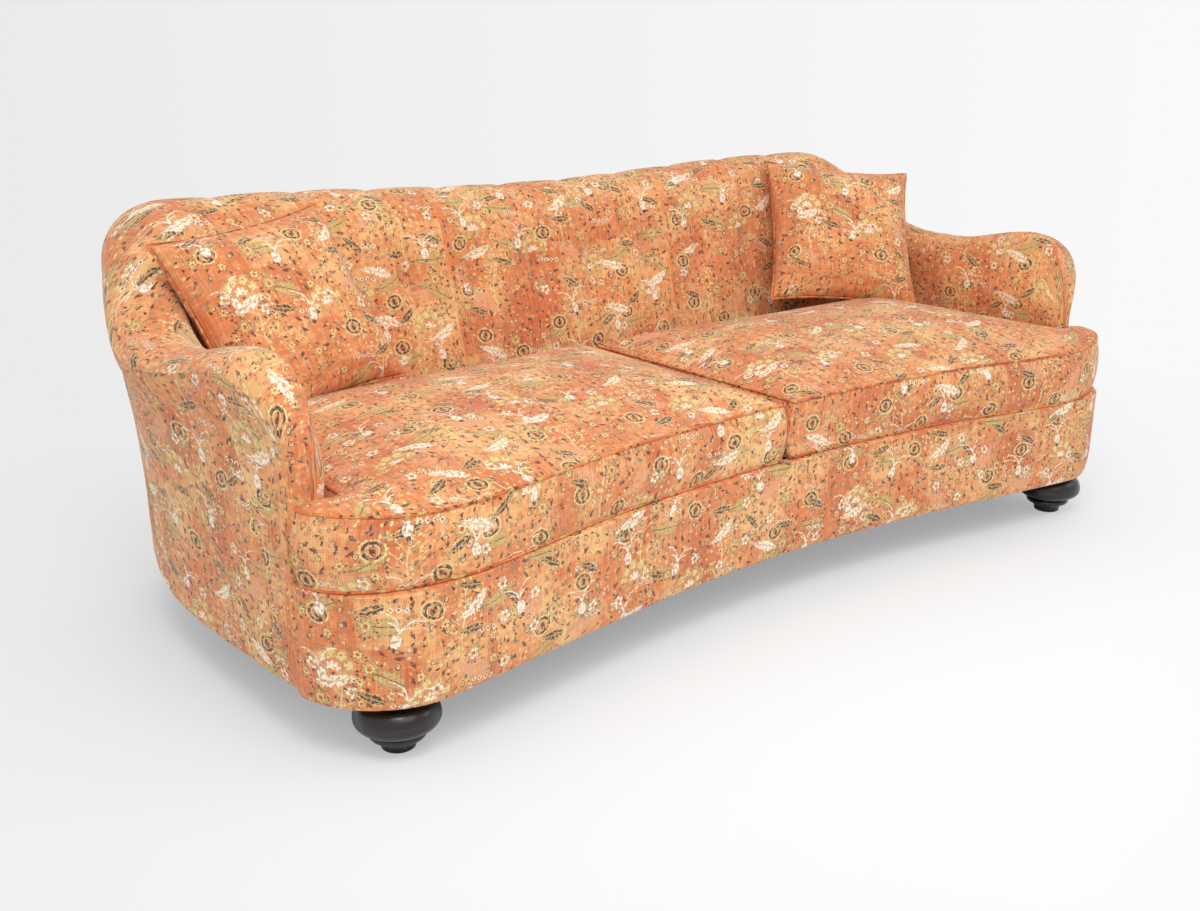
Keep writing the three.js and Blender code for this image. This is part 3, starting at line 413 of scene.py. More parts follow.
def new_mesh(name, points, faces, corners=None, material=None):
    """An object of points and faces. corners holds each face's places on the cloth, in metres."""
    mesh = bpy.data.meshes.new(name)
    mesh.from_pydata([tuple(map(float, p)) for p in points], [], faces)
    if corners is not None:
        layer = mesh.uv_layers.new(name="UVMap")
        flat = np.array([place for face in corners for place in face], dtype=np.float32)
        layer.data.foreach_set("uv", flat.ravel())
    mesh.polygons.foreach_set("use_smooth", [True] * len(mesh.polygons))
    if material:
        mesh.materials.append(material)
    mesh.update()
    obj = bpy.data.objects.new(name, mesh)
    bpy.context.scene.collection.objects.link(obj)
    return obj


def face_outwards(obj):
    body = bmesh.new()
    body.from_mesh(obj.data)
    bmesh.ops.recalc_face_normals(body, faces=body.faces)
    body.to_mesh(obj.data)
    body.free()


def quads(rows, count):
    """The four (row, column) corners of each face between closed rings of points."""
    rounds = [(i, j, (j + 1) % count) for i in range(rows - 1) for j in range(count)]
    return [[(i, j), (i, nxt), (i + 1, nxt), (i + 1, j)] for i, j, nxt in rounds]


def loft(name, rings, places, material):
    """A closed body of rings of points. places holds each point's place on the cloth."""
    rows, count = rings.shape[:2]
    cells = quads(rows, count)
    cells += [[(0, j) for j in range(count)], [(rows - 1, j) for j in reversed(range(count))]]
    faces = [tuple(i * count + j for i, j in cell) for cell in cells]
    corners = [[places[spot] for spot in cell] for cell in cells]
    obj = new_mesh(name, rings.reshape(-1, 3), faces, corners, material)
    face_outwards(obj)
    obj.data.set_sharp_from_angle(angle=SHARP_ANGLE)
    return obj


def place_again(obj, columns, picked, places):
    """Gives the picked faces of a loft other places on the cloth, by ring and column of their points."""
    rows = len(places)
    layer = obj.data.uv_layers[0].data
    for i in range(rows - 1):
        for j in np.flatnonzero(picked[i]):
            face = obj.data.polygons[i * columns + int(j)]
            for loop in face.loop_indices:
                point = obj.data.loops[loop].vertex_index
                layer[loop].uv = places[point // columns, point % columns]


def soften(values, passes):
    """Rounds a grid's second axis, with its ends kept."""
    for _ in range(passes):
        values[:, 1:-1] = (values[:, :-2] + 2 * values[:, 1:-1] + values[:, 2:]) / 4
    return values


def ripple(points, size, seed):
    """A soft unevenness from -1 to 1 at each point."""
    shift = Vector((seed, 2 * seed, 3 * seed))
    levels = [noise.noise(Vector(p) / size + shift) for p in points.reshape(-1, 3)]
    return np.array(levels).reshape(points.shape[:-1])


def dress(obj, body, nodes):
    """The last calls on a piece that stands for CAD nodes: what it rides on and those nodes."""
    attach(obj, body)
    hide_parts(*nodes)
    return obj


# Materials


def add_node(tree, kind, settings=None, **sockets):
    """Any node: its settings first, then the values or links of its sockets, by name or by place."""
    made = tree.nodes.new(kind)
    for key, value in (settings or {}).items():
        setattr(made, key, value)
    for key, value in sockets.items():
        feed(tree, made.inputs[int(key[1:]) if key[1:].isdigit() else key.replace("_", " ")], value)
    return made


def feed(tree, socket, value):
    if isinstance(value, Value):
        value = value.socket
    if isinstance(value, bpy.types.NodeSocket):
        tree.links.new(value, socket)
    else:
        socket.default_value = value


def with_maths(operation):
    """A method that puts its value, and the other one if there is one, through a Math node."""
    return lambda self, *others: self.paint.maths(operation, self, *others)


class Value:
    """A number that varies over a surface, with ordinary arithmetic."""

    def __init__(self, paint, socket):
        self.paint = paint
        self.socket = socket

    __add__ = __radd__ = with_maths("ADD")
    __sub__ = with_maths("SUBTRACT")
    __mul__ = __rmul__ = with_maths("MULTIPLY")
    __truediv__ = with_maths("DIVIDE")
    __mod__ = with_maths("FLOORED_MODULO")
    __lt__ = with_maths("LESS_THAN")
    __gt__ = with_maths("GREATER_THAN")
    __abs__ = with_maths("ABSOLUTE")
    floor = with_maths("FLOOR")
    most = with_maths("MAXIMUM")

    def __rsub__(self, other):
        return self.paint.maths("SUBTRACT", other, self)

    def inside(self, softness):
        """1 where the value is below zero, 0 above, over a soft edge."""
        return self.paint.maths("MULTIPLY_ADD", self, -1 / softness, 0.5, clamp=True)


class Paint:
    """The nodes of a material or of the world, made from Python expressions."""

    def __init__(self, name, owner=None):
        self.owner = owner or bpy.data.materials.new(name)
        self.owner.use_nodes = True
        self.tree = self.owner.node_tree
        self.shader = self.tree.nodes.get("Principled BSDF")

    def node(self, kind, settings=None, **sockets):
        return add_node(self.tree, kind, settings, **sockets)

    def feed(self, socket, value):
        feed(self.tree, socket, value)

    def where(self):
        return self.node("ShaderNodeTexCoord").outputs["Object"]

    def maths(self, operation, *values, clamp=False):
        settings = {"operation": operation, "use_clamp": clamp}
        sockets = {f"i{i}": value for i, value in enumerate(values)}
        return Value(self, self.node("ShaderNodeMath", settings, **sockets).outputs[0])

    def blend(self, share, under, over):
        """A colour between two, by a share from 0 to 1."""
        made = self.node("ShaderNodeMix", {"data_type": "RGBA"}, i0=share, i6=under, i7=over)
        return made.outputs[2]

    def ramp(self, value, low, high):
        made = self.node("ShaderNodeMapRange", {"clamp": True}, Value=value, From_Min=low, From_Max=high)
        return Value(self, made.outputs[0])

    def split(self, socket):
        """The three numbers of a vector or a colour."""
        made = self.node("ShaderNodeSeparateXYZ", None, i0=socket)
        return [Value(self, out) for out in made.outputs]

    def join(self, x, y, z=0.0):
        return self.node("ShaderNodeCombineXYZ", None, X=x, Y=y, Z=z).outputs[0]

    def grain(self, where, scale, detail=2.0, roughness=0.5, dimensions="3D"):
        sockets = {"Vector": where, "Scale": scale, "Detail": detail, "Roughness": roughness}
        made = self.node("ShaderNodeTexNoise", {"noise_dimensions": dimensions}, **sockets)
        return Value(self, made.outputs[0])

    def stretched(self, where, x, y, z):
        made = self.node("ShaderNodeVectorMath", {"operation": "MULTIPLY"}, i0=where, i1=(x, y, z))
        return made.outputs[0]

    def bump(self, height, distance, strength=1.0):
        made = self.node("ShaderNodeBump", None, Height=height, Distance=distance, Strength=strength)
        self.feed(self.shader.inputs["Normal"], made.outputs[0])

    def finish(self, **sockets):
        for name, value in sockets.items():
            self.feed(self.shader.inputs[name.replace("_", " ")], value)
        return self.owner


def linear(red, green, blue):
    """A colour as a screen shows it, 0 to 255, as the shader wants it."""
    shown = [c / 255 for c in (red, green, blue)]
    return (*(((c + 0.055) / 1.055) ** 2.4 if c > 10 / 255 else c / 12.92 for c in shown), 1.0)


GROUND = linear(234, 144, 82)
GROUND_DEEP = linear(208, 106, 54)
GROUND_PALE = linear(248, 196, 128)
CREAM = linear(255, 246, 222)
STRAW = linear(238, 215, 145)
OCHRE = linear(208, 182, 112)
OLIVE = linear(140, 130, 84)
CHARCOAL = linear(44, 48, 46)
MAUVE = linear(160, 130, 118)
ROSE = linear(236, 164, 122)
RUST = linear(186, 80, 46)


# How soft the edge of a printed shape is, in metres
FINE, SOFT, BROAD = 0.0008, 0.0009, 0.001
WANDER = 0.0042
THREADS_ACROSS, THREADS_UP = 4200.0, 3800.0


class PrintedCloth:
    """The printed linen: motifs in staggered repeats over a mottled ground, on the cloth's own metres.

    A motif takes how many stand side by side in a repeat, a seed, its size in metres and its chance of being
    shown. The numbers in its shapes are shares of that size, or how much a line of it bends.
    """

    def __init__(self, name, repeat):
        self.paint = Paint(name)
        self.repeat = repeat
        uv = self.paint.node("ShaderNodeUVMap", {"uv_map": "UVMap"}).outputs[0]
        flat = {"noise_dimensions": "2D"}
        wander = self.paint.node("ShaderNodeTexNoise", flat, Vector=uv, Scale=70.0, Detail=3.0)
        u, v, _ = self.paint.split(uv)
        du, dv, _ = self.paint.split(wander.outputs["Color"])
        self.u = u + (du - 0.5) * WANDER
        self.v = v + (dv - 0.5) * WANDER
        self.uv = uv
        self.worn = self.paint.ramp(self.paint.grain(uv, 150.0, 3.0, dimensions="2D"), 0.36, 0.5)
        self.colour = self.ground()

    def ground(self):
        p = self.paint
        clouds = p.grain(self.uv, 7.5, 4.0, 0.62, "2D")
        colour = p.blend(p.ramp(clouds, 0.46, 0.66), GROUND, GROUND_PALE)
        embers = p.grain(p.stretched(self.uv, 1.0, 0.6, 1.0), 5.6, 4.0, 0.65, "2D")
        colour = p.blend(p.ramp(embers, 0.5, 0.66) * 0.9, colour, GROUND_DEEP)
        _, _, (tone, _, _) = self.cells(5, 2.0, 0.0, stretch=0.7)
        colour = p.blend((tone > 0.62) * 0.28, colour, GROUND_DEEP)
        colour = p.blend((tone < 0.28) * 0.34, colour, GROUND_PALE)
        flecks = p.grain(self.uv, 60.0, 4.0, 0.7, "2D")
        colour = p.blend(p.ramp(flecks, 0.54, 0.72) * 0.55, colour, GROUND_PALE)
        return p.blend(p.ramp(flecks, 0.48, 0.3) * 0.55, colour, GROUND_DEEP)

    def lay(self, mask, colour, strength=1.0):
        share = mask * self.worn if strength == 1.0 else mask * self.worn * strength
        self.colour = self.paint.blend(share, self.colour, colour)

    def cells(self, count, seed, turn, drift=0.0, stretch=1.0):
        """Place inside each cell of a repeat, turned at random, and three random numbers of the cell."""
        p = self.paint
        size = self.repeat / count
        tall = size * stretch
        column = (self.u / size).floor()
        across = self.u / size - column - 0.5
        up = self.v / tall + (column % 2.0) * 0.5
        row = up.floor()
        key = p.join(column % float(count), row % float(count), seed)
        made = p.node("ShaderNodeTexWhiteNoise", {"noise_dimensions": "3D"}, Vector=key)
        r, g, b = p.split(made.outputs["Color"])
        x = across * size + (r - 0.5) * drift
        y = (up - row - 0.5) * tall + (g - 0.5) * drift
        if turn:
            angle = (b - 0.5) * turn
            c, s = p.maths("COSINE", angle), p.maths("SINE", angle)
            x, y = x * c + y * s, y * c - x * s
        return x, y, (r, g, b)

    def seeds(self, pitch, seed):
        """Scattered points: distance to the nearest one in metres, and its three random numbers."""
        p = self.paint
        shifted = p.join(self.u + seed, self.v + 2 * seed)
        settings = {"voronoi_dimensions": "2D"}
        made = p.node("ShaderNodeTexVoronoi", settings, Vector=shifted, Scale=1 / pitch, Randomness=0.85)
        return Value(p, made.outputs["Distance"]) * pitch, p.split(made.outputs["Color"])

    def length(self, x, y):
        return self.paint.maths("SQRT", x * x + y * y)

    def stack(self, shown, *layers):
        """Lays shapes over each other, each with its soft edge and colour. A shape is below zero inside."""
        for shape, edge, colour, *strength in layers:
            self.lay(shape.inside(edge) * shown, colour, *strength)

    def sprinkle(self):
        """Small seeds, ring flowers and leaf flecks all over the ground."""
        p = self.paint
        ring, (r, _, _) = self.seeds(0.0135, 3.1)
        self.stack(r < 0.5, (abs(ring - 0.0025) - 0.0009, FINE, MAUVE))
        dot, (r, _, _) = self.seeds(0.0175, 7.7)
        patch = p.ramp(p.grain(self.uv, 9.0, 1.0, dimensions="2D"), 0.43, 0.53)
        self.stack((r < 0.6) * patch, (dot - 0.0031, FINE, STRAW))
        x, y, (r, _, _) = self.cells(34, 11.0, 6.0, 0.008)
        self.stack(r < 0.42, (abs(y) - 0.0023 * (1 - x * x * 42000.0), SOFT, CHARCOAL))
        x, y, (_, g, _) = self.cells(25, 17.0, 5.0, 0.008)
        leaf = abs(y - x * x * 26.0) - 0.0033 * (1 - x * x * 13000.0)
        self.stack(g < 0.34, (leaf, SOFT, OLIVE))
        self.stack(g > 0.62, (leaf, SOFT, CHARCOAL, 0.9))

    def drops(self, count, seed, radius, chance):
        """Seed heads: a pale drop inside a dark rim."""
        x, y, (r, _, _) = self.cells(count, seed, 5.0, self.repeat / count * 0.25)
        away = self.length(x * (1.25 + y * 30.0), y)
        self.stack(
            r < chance,
            (away - radius, SOFT, CHARCOAL),
            (away - radius * 0.7, FINE, STRAW),
            (away - radius * 0.26, FINE, RUST),
        )

    def rosettes(self, count, seed, radius, petals, chance, rim, petal, heart):
        """Petalled flowers with a dark outline."""
        p = self.paint
        x, y, (r, _, _) = self.cells(count, seed, 3.0, self.repeat / count * 0.3)
        away = self.length(x, y)
        turn = p.maths("ARCTAN2", y, x)
        lobes = abs(p.maths("COSINE", turn * (petals / 2)))
        edge = away - radius * (0.58 + 0.42 * lobes)
        shown = r < chance
        self.stack(
            shown,
            (edge, BROAD, rim, 0.9),
            (edge + radius * 0.11, BROAD, petal),
            (away - radius * 0.46, BROAD, STRAW),
            (away - radius * 0.27, BROAD, heart),
        )
        self.stack(shown * (lobes > 0.92), (abs(away - radius * 1.18) - radius * 0.12, SOFT, rim))

    def wreaths(self, count, seed, radius, chance):
        """Oval rings with a toothed rim and a leaf inside."""
        p = self.paint
        x, y, (_, g, _) = self.cells(count, seed, 1.2, self.repeat / count * 0.25)
        away = self.length(x, y * 1.25)
        turn = p.maths("ARCTAN2", y, x)
        teeth = abs(p.maths("COSINE", turn * 9.0)) * radius * 0.1
        leaf = abs(x - y * y * 14.0) - 0.005 * (1 - y * y * 9500.0)
        self.stack(
            g < chance,
            (away - radius * 1.16 - teeth, BROAD, STRAW),
            (away - radius, BROAD, CHARCOAL),
            (away - radius * 0.66, BROAD, STRAW),
            (away - radius * 0.52, BROAD, GROUND),
            (leaf, SOFT, CHARCOAL),
        )

    def leaves(self, count, seed, length, width, turn, chance, colour, rib, rim=None):
        """Long curved leaves with a barbed edge and a midrib."""
        p = self.paint
        x, y, (r, _, b) = self.cells(count, seed, turn, self.repeat / count * 0.2, 0.8)
        bend = y - x * x * 9.0 * (b - 0.3)
        reach = x / length
        shape = width * (1 - reach * reach) * (1.0 + 0.7 * reach)
        barbs = abs(p.maths("SINE", x * 420.0 + abs(bend) * 300.0)) * width * 0.3
        leaf = abs(bend) - shape + barbs
        shown = (r < chance) * (abs(reach) < 1.0)
        if rim:
            self.stack(shown, (leaf - 0.0016, BROAD, rim, 0.9))
        self.stack(shown, (leaf, BROAD, colour))
        self.stack(shown * (leaf < 0.0), (abs(bend) - 0.001, FINE, rib, 0.9))

    def plumes(self, count, seed, radius, chance):
        """Pairs of arcs that spring from a small bell."""
        x, y, (_, g, _) = self.cells(count, seed, 0.8, self.repeat / count * 0.2, 0.9)
        side = abs(x)
        shown = g < chance
        for reach in (0.55, 1.0):
            bow = radius * reach
            arc = abs(self.length(side - bow, y) - bow) - 0.0012
            self.stack(shown * (y > 0.0) * (side < bow * 1.15), (arc, SOFT, CREAM))
        bell = self.length(x * 1.35, y + radius * 0.3) - radius * 0.38
        tip = self.length(x, y + radius * 0.75) - radius * 0.13
        self.stack(shown, (bell - 0.0014, BROAD, MAUVE), (bell, BROAD, CREAM), (tip, SOFT, CHARCOAL))

    def palmettes(self, count, seed, radius, chance):
        """Fans of petals over a pair of small curls."""
        p = self.paint
        x, y, (r, _, _) = self.cells(count, seed, 0.25, self.repeat / count * 0.15, 0.85)
        away = self.length(x, y + radius * 0.3)
        turn = p.maths("ARCTAN2", y + radius * 0.3, x)
        lobes = abs(p.maths("SINE", turn * 4.5))
        shown = (r < chance) * (y > radius * -0.32)
        edge = away - radius * (0.78 + 0.22 * lobes)
        self.stack(shown, (edge, BROAD, OCHRE, 0.85))
        self.stack(shown * (lobes > 0.5), (edge + radius * 0.1, BROAD, STRAW))
        self.stack(
            shown,
            (away - radius * 0.52, BROAD, OLIVE, 0.7),
            (away - radius * 0.45, BROAD, GROUND),
            (away - radius * (0.2 + 0.16 * lobes), BROAD, CREAM),
        )
        curl = abs(self.length(abs(x) - radius * 0.42, y + radius * 0.52) - radius * 0.2) - 0.0026
        self.stack(r < chance, (curl, BROAD, OCHRE))

    def sprigs(self, count, seed, height, chance):
        """Upright stems with side shoots and berries round them."""
        p = self.paint
        x, y, (_, _, b) = self.cells(count, seed, 0.35, self.repeat / count * 0.15, 1.15)
        side = abs(x - 0.004 * p.maths("SINE", y * 55.0))
        shown = (b < chance) * (abs(y) < height)
        self.stack(shown, (side - 0.0017, SOFT, STRAW))
        shoot = abs((y + side * -0.7) % 0.021 - 0.0105) - 0.0011
        fan = (side < (height - y) * 0.42) * (side < 0.034)
        self.stack(shown * fan * (y > -0.45 * height), (shoot, FINE, STRAW, 0.9))
        berry, (_, g, _) = self.seeds(0.0125, 13.3)
        cloud = self.length(x, (y - height * 0.3) * 0.8) < 0.045
        self.stack((g < 0.6) * cloud * (b < chance), (berry - 0.0034, FINE, STRAW))

    def diamonds(self, count, seed, radius, chance):
        """Small diamonds and dots in short rows."""
        x, y, (_, _, b) = self.cells(count, seed, 0.4, self.repeat / count * 0.3)
        steps = abs((x + 0.3) % 0.013 - 0.0065) + abs(y)
        shown = (b < chance) * (abs(x) < radius)
        self.stack(shown, (steps - 0.0055, SOFT, CREAM), (steps - 0.0028, SOFT, CHARCOAL))

    def weave(self):
        """Slubs in the colour and threads in the relief."""
        p = self.paint
        warp = p.grain(p.stretched(self.uv, 520.0, 14.0, 1.0), 1.0, 2.0, dimensions="2D")
        weft = p.grain(p.stretched(self.uv, 16.0, 620.0, 1.0), 1.0, 2.0, dimensions="2D")
        shade = p.ramp(warp * 0.6 + weft * 0.4, 0.34, 0.66)
        self.colour = p.blend((1 - shade) * 0.24, self.colour, RUST)
        self.colour = p.blend(shade * shade * 0.16, self.colour, CREAM)
        threads = p.maths("SINE", self.u * THREADS_ACROSS) * p.maths("SINE", self.v * THREADS_UP)
        relief = threads * 0.3 + warp + weft
        p.bump(relief, 0.00045, 0.55)
        p.finish(Base_Color=self.colour, Roughness=p.ramp(warp, 0.0, 1.0) * 0.12 + 0.84)
        return p.finish(Sheen_Weight=0.18, Sheen_Roughness=0.45, Specular_IOR_Level=0.25)


def printed_cloth(name):
    """The cloth with its motifs, laid from the lowest to the uppermost."""
    cloth = PrintedCloth(name, bpy.context.scene.sofa_cloth.repeat)
    cloth.sprinkle()
    for motif, *given in (
        (cloth.sprigs, 3, 5.0, 0.08, 0.75),
        (cloth.leaves, 5, 23.0, 0.052, 0.017, 1.3, 0.25, ROSE, OCHRE),
        (cloth.drops, 22, 25.0, 0.0058, 0.34),
        (cloth.leaves, 6, 29.0, 0.045, 0.014, 1.1, 0.5, OCHRE, CHARCOAL, OLIVE),
        (cloth.diamonds, 8, 31.0, 0.026, 0.3),
        (cloth.palmettes, 4, 33.0, 0.042, 0.45),
        (cloth.wreaths, 6, 37.0, 0.019, 0.26),
        (cloth.rosettes, 7, 41.0, 0.017, 8.0, 0.26, CHARCOAL, OCHRE, RUST),
        (cloth.rosettes, 13, 43.0, 0.0095, 6.0, 0.32, CHARCOAL, STRAW, RUST),
        (cloth.rosettes, 9, 45.0, 0.013, 5.0, 0.2, MAUVE, CREAM, RUST),
        (cloth.leaves, 7, 47.0, 0.036, 0.0085, 1.6, 0.36, CHARCOAL, OCHRE, STRAW),
        (cloth.plumes, 5, 53.0, 0.034, 0.5),
        (cloth.leaves, 5, 59.0, 0.048, 0.0115, 1.0, 0.36, CREAM, OCHRE),
    ):
        motif(*given)
    return cloth.weave()


def welt_cloth_painted_shade(name):
    """The same cloth cut into narrow strips, where only specks of the print show. Its ground is painted darker
    than the print's, as painted shade along the seams.
    """
    p = Paint(name)
    where = p.where()
    # Painted shade: the welts' ground is mostly GROUND_DEEP with rust patches, darker than the print's ground,
    # so that they read as dark lines along the seams.
    colour = p.blend(p.ramp(p.grain(where, 9.0, 4.0), 0.4, 0.62), GROUND_DEEP, GROUND)
    colour = p.blend(p.ramp(p.grain(where, 5.0, 4.0), 0.5, 0.66), colour, RUST)
    colour = p.blend(p.ramp(p.grain(where, 62.0, 2.0), 0.56, 0.62), colour, OCHRE)
    colour = p.blend(p.ramp(p.grain(where, 85.0, 1.0), 0.6, 0.66) * 0.9, colour, CHARCOAL)
    threads = p.grain(where, 1300.0, 1.0)
    colour = p.blend(p.ramp(threads, 0.7, 0.3) * 0.25, colour, GROUND_DEEP)
    p.bump(threads, 0.0004, 0.5)
    return p.finish(Base_Color=colour, Roughness=0.88, Sheen_Weight=0.18, Specular_IOR_Level=0.25)


def polished_wood(name):
    """Near-black brown hardwood under a clear polish."""
    p = Paint(name)
    where = p.where()
    figure = p.grain(p.stretched(where, 30.0, 30.0, 4.0), 2.2, 6.0, 0.62)
    pores = p.grain(p.stretched(where, 260.0, 260.0, 22.0), 1.0, 2.0)
    colour = p.blend(p.ramp(figure, 0.35, 0.7), linear(12, 7, 6), linear(32, 17, 13))
    colour = p.blend(p.ramp(pores, 0.6, 0.75) * 0.6, colour, linear(14, 9, 8))
    wear = p.grain(where, 42.0, 3.0)
    p.bump(pores, 0.0002, 0.12)
    rough = p.ramp(wear, 0.3, 0.75) * 0.14 + 0.24
    return p.finish(Base_Color=colour, Roughness=rough, Coat_Weight=0.35, Coat_Roughness=0.14)


def plain_wood(name, pale, dark, along):
    """Sawn wood for the frame, with its grain along a chosen axis."""
    p = Paint(name)
    where = p.where()
    figure = p.grain(p.stretched(where, *along), 1.0, 5.0, 0.6)
    fleck = p.grain(p.stretched(where, *[4 * a for a in along]), 2.0, 2.0)
    colour = p.blend(p.ramp(figure, 0.3, 0.7), pale, dark)
    colour = p.blend(p.ramp(fleck, 0.6, 0.7) * 0.5, colour, dark)
    p.bump(figure + fleck, 0.0006, 0.35)
    return p.finish(Base_Color=colour, Roughness=p.ramp(fleck, 0.2, 0.8) * 0.2 + 0.58)


def ply_wood(name):
    """Birch plywood: veneers that run through its thickness."""
    p = Paint(name)
    where = p.where()
    x, y, _ = p.split(where)
    figure = p.grain(p.stretched(where, 8.0, 8.0, 60.0), 1.0, 4.0)
    bands = p.maths("SINE", (x * 0.7 + y * 0.7) * 2200.0)
    colour = p.blend(p.ramp(figure, 0.3, 0.7), linear(206, 172, 122), linear(180, 140, 92))
    colour = p.blend((bands > 0.1) * 0.25, colour, linear(140, 100, 62))
    p.bump(figure, 0.0005, 0.3)
    return p.finish(Base_Color=colour, Roughness=0.68)


def spring_steel(name):
    p = Paint(name)
    where = p.where()
    film = p.grain(where, 55.0, 4.0, 0.6)
    colour = p.blend(p.ramp(film, 0.35, 0.7), linear(150, 152, 155), linear(104, 102, 100))
    p.bump(p.grain(where, 900.0, 1.0), 0.0001, 0.2)
    return p.finish(Base_Color=colour, Roughness=p.ramp(film, 0.2, 0.8) * 0.25 + 0.28, Metallic=1.0)


def plain_cloth(name, pale, dark, thread, lift):
    """An unprinted cloth with an open weave."""
    p = Paint(name)
    where = p.where()
    x, y, _ = p.split(where)
    turn = 2 * math.pi / thread
    weave = p.maths("SINE", x * turn) * p.maths("SINE", y * turn)
    slub = p.grain(p.stretched(where, 30.0, 400.0, 30.0), 1.0, 2.0)
    colour = p.blend(p.ramp(slub, 0.3, 0.7), pale, dark)
    colour = p.blend((weave > 0.2) * 0.25, colour, dark)
    p.bump(weave * 0.5 + slub, lift, 0.5)
    return p.finish(Base_Color=colour, Roughness=0.92, Specular_IOR_Level=0.2)


FINISHES = {
    "print": (printed_cloth, "printed_linen"),
    "welt": (welt_cloth_painted_shade, "linen_strips"),
    "foot": (polished_wood, "polished_dark_wood"),
    "beech": (plain_wood, "sawn_beech", linear(214, 178, 132), linear(178, 134, 88), (5.0, 40.0, 40.0)),
    "ply": (ply_wood, "birch_plywood"),
    "steel": (spring_steel, "spring_steel"),
    "deck": (plain_cloth, "platform_cloth", linear(190, 158, 116), linear(160, 126, 86), 0.0028, 0.0005),
    "lining": (plain_cloth, "black_lining", linear(46, 43, 40), linear(28, 26, 25), 0.0022, 0.0003),
}
finished = {}


def finish_of(kind):
    """Each finish is made once, and shared by the pieces that have it."""
    if kind not in finished:
        maker, *given = FINISHES[kind]
        finished[kind] = maker(*given)
    return finished[kind]


# Padded back and arms

SKIN_STEPS = 104
SKIN_PASSES = 26
QUIET_EDGE = 0.06
UNEVENNESS = ((0.0016, 0.11, 4.0), (0.0006, 0.035, 9.0))
LINING_SHARES = np.array([1, 0.9, 0.8, 0.7, 0.6, 0.52, 0.44, 0.25, 0])
TUFT_PLACES = (np.arange(TUFT_COUNT) - (TUFT_COUNT - 1) / 2) * TUFT_SPACING


def tuft_dimple(x, z, t):
    """How far the blind tufts and the pleats above them draw the skin in."""
    apart = np.abs(x[..., None] - TUFT_PLACES)
    off = apart.min(-1)
    broad = np.clip(1 - off / (TUFT_SPACING / 2), 0, 1) ** 2
    groove = BROAD_SHARE * broad + CREASE_SHARE * hump(off, PLEAT_WIDTH)
    near = hump(z - TUFT_HEIGHT, TUFT_REACH)
    above = np.where((t > FACE_SHARE) | (z > TUFT_HEIGHT), 1, near)
    below = hump(z - TUFT_HEIGHT, PLEAT_BELOW_REACH) * (z < TUFT_HEIGHT)
    fade = ease(1 - t, 0, 1 - CREST_SHARE)
    return groove * (TUFT_DEPTH * near + PLEAT_DEPTH * np.maximum(above, PLEAT_BELOW_SHARE * below) * fade)


def padded_cover(name, places, tufted):
    """A padded cover over the given places: its skin, its underside and its closed ends."""
    place = np.repeat(places[:, None], SKIN_STEPS, 1)
    share = np.repeat(np.linspace(0, 1, SKIN_STEPS)[None, :], len(places), 0)
    n, z = (soften(v, SKIN_PASSES) for v in skin(place, share))
    if not tufted:
        n = n + arm_bulge(z, share) * (1 - ease(fold(place), *ARM_BULGE_END))
    points = shaped(place, n, z)
    dimple = np.zeros_like(n)
    if tufted:
        crest = at(places, section(places)["crest_inset"], 0)[:, 0]
        dimple = tuft_dimple(np.repeat(crest[:, None], SKIN_STEPS, 1), z, share)
    quiet = ease(share, 0, QUIET_EDGE) * ease(1 - share, 0, QUIET_EDGE)
    depth = dimple + quiet * sum(deep * ripple(points, size, seed) for deep, size, seed in UNEVENNESS)
    slope_n, slope_z = np.gradient(n, axis=1), np.gradient(z, axis=1)
    length = np.maximum(np.hypot(slope_n, slope_z), 1e-9)
    sunk_z = np.where(share == 0, PAD_FOOT, z + slope_n / length * depth)
    sunk = shaped(place, n - slope_z / length * depth, sunk_z)
    under_share = np.repeat(LINING_SHARES[None, :], len(places), 0)
    under_place = np.repeat(places[:, None], len(LINING_SHARES), 1)
    under = shaped(under_place, *lining(under_place, under_share))
    up = PAD_FOOT + running(points)
    whole = np.concatenate([up, up[:, -1:] + running(under)], 1)
    along = np.repeat(print_run(places)[:, None], whole.shape[1], 1)
    return loft(name, np.concatenate([sunk, under], 1), np.stack([along, whole], -1), finish_of("print"))


# Outside covers

ARM_SEAM_TOP = ARM_HEIGHT + ARM_FRONT_SWELL - SEAM_DROP_ARM
BORDER_RISE_SHARE = (SEAT_BOTTOM - FOOT_HEIGHT) / (ARM_SEAM_TOP - FOOT_HEIGHT)
COVER_THICKNESS = 0.004
COVER_ROWS = np.concatenate([np.linspace(0, 0.16, 14)[:-1], np.linspace(0.16, 1, 56)])
COVER_SAG = 0.00065
COVER_RIPPLE = (0.16, 6.0)
COVER_QUIET_EDGE = 0.1
EDGE_DRAW = 0.0012
EDGE_SHARPNESS = 60

# The seam between the outside arm and the cloth of its front: heights, places, column of points and relief
SEAM_HEIGHTS = [0.113, 0.315, 0.38, 0.45, 0.511, 0.56, 0.593, 0.627, 0.66]
SEAM_PLACES = [0.26, 0.32, 0.50, 0.74, 0.97, 1.20, 1.39, 1.73, 2.1]
SEAM_COLUMN = 30
SEAM_GROOVE, SEAM_GROOVE_COLUMNS = 0.0026, 1.1
SEAM_RIDGE, SEAM_RIDGE_COLUMNS, SEAM_RIDGE_BEHIND = 0.0014, 3, 4
PLEAT_HEIGHT = 0.563
CREST_STEPS = 60


def arm_seam(share):
    """Place of the seam at the outside arm's front, by its share of the rise from foot to roll."""
    return BORDER_END * (1 - np.maximum(0, share - BORDER_RISE_SHARE) / (1 - BORDER_RISE_SHARE))


def tuck(height):
    rise = np.clip((height - FOOT_HEIGHT) / TUCK_HEIGHT, 0, 1)
    return BOTTOM_TUCK * (1 - np.sqrt(np.maximum(0, 1 - (1 - rise) ** 2)))


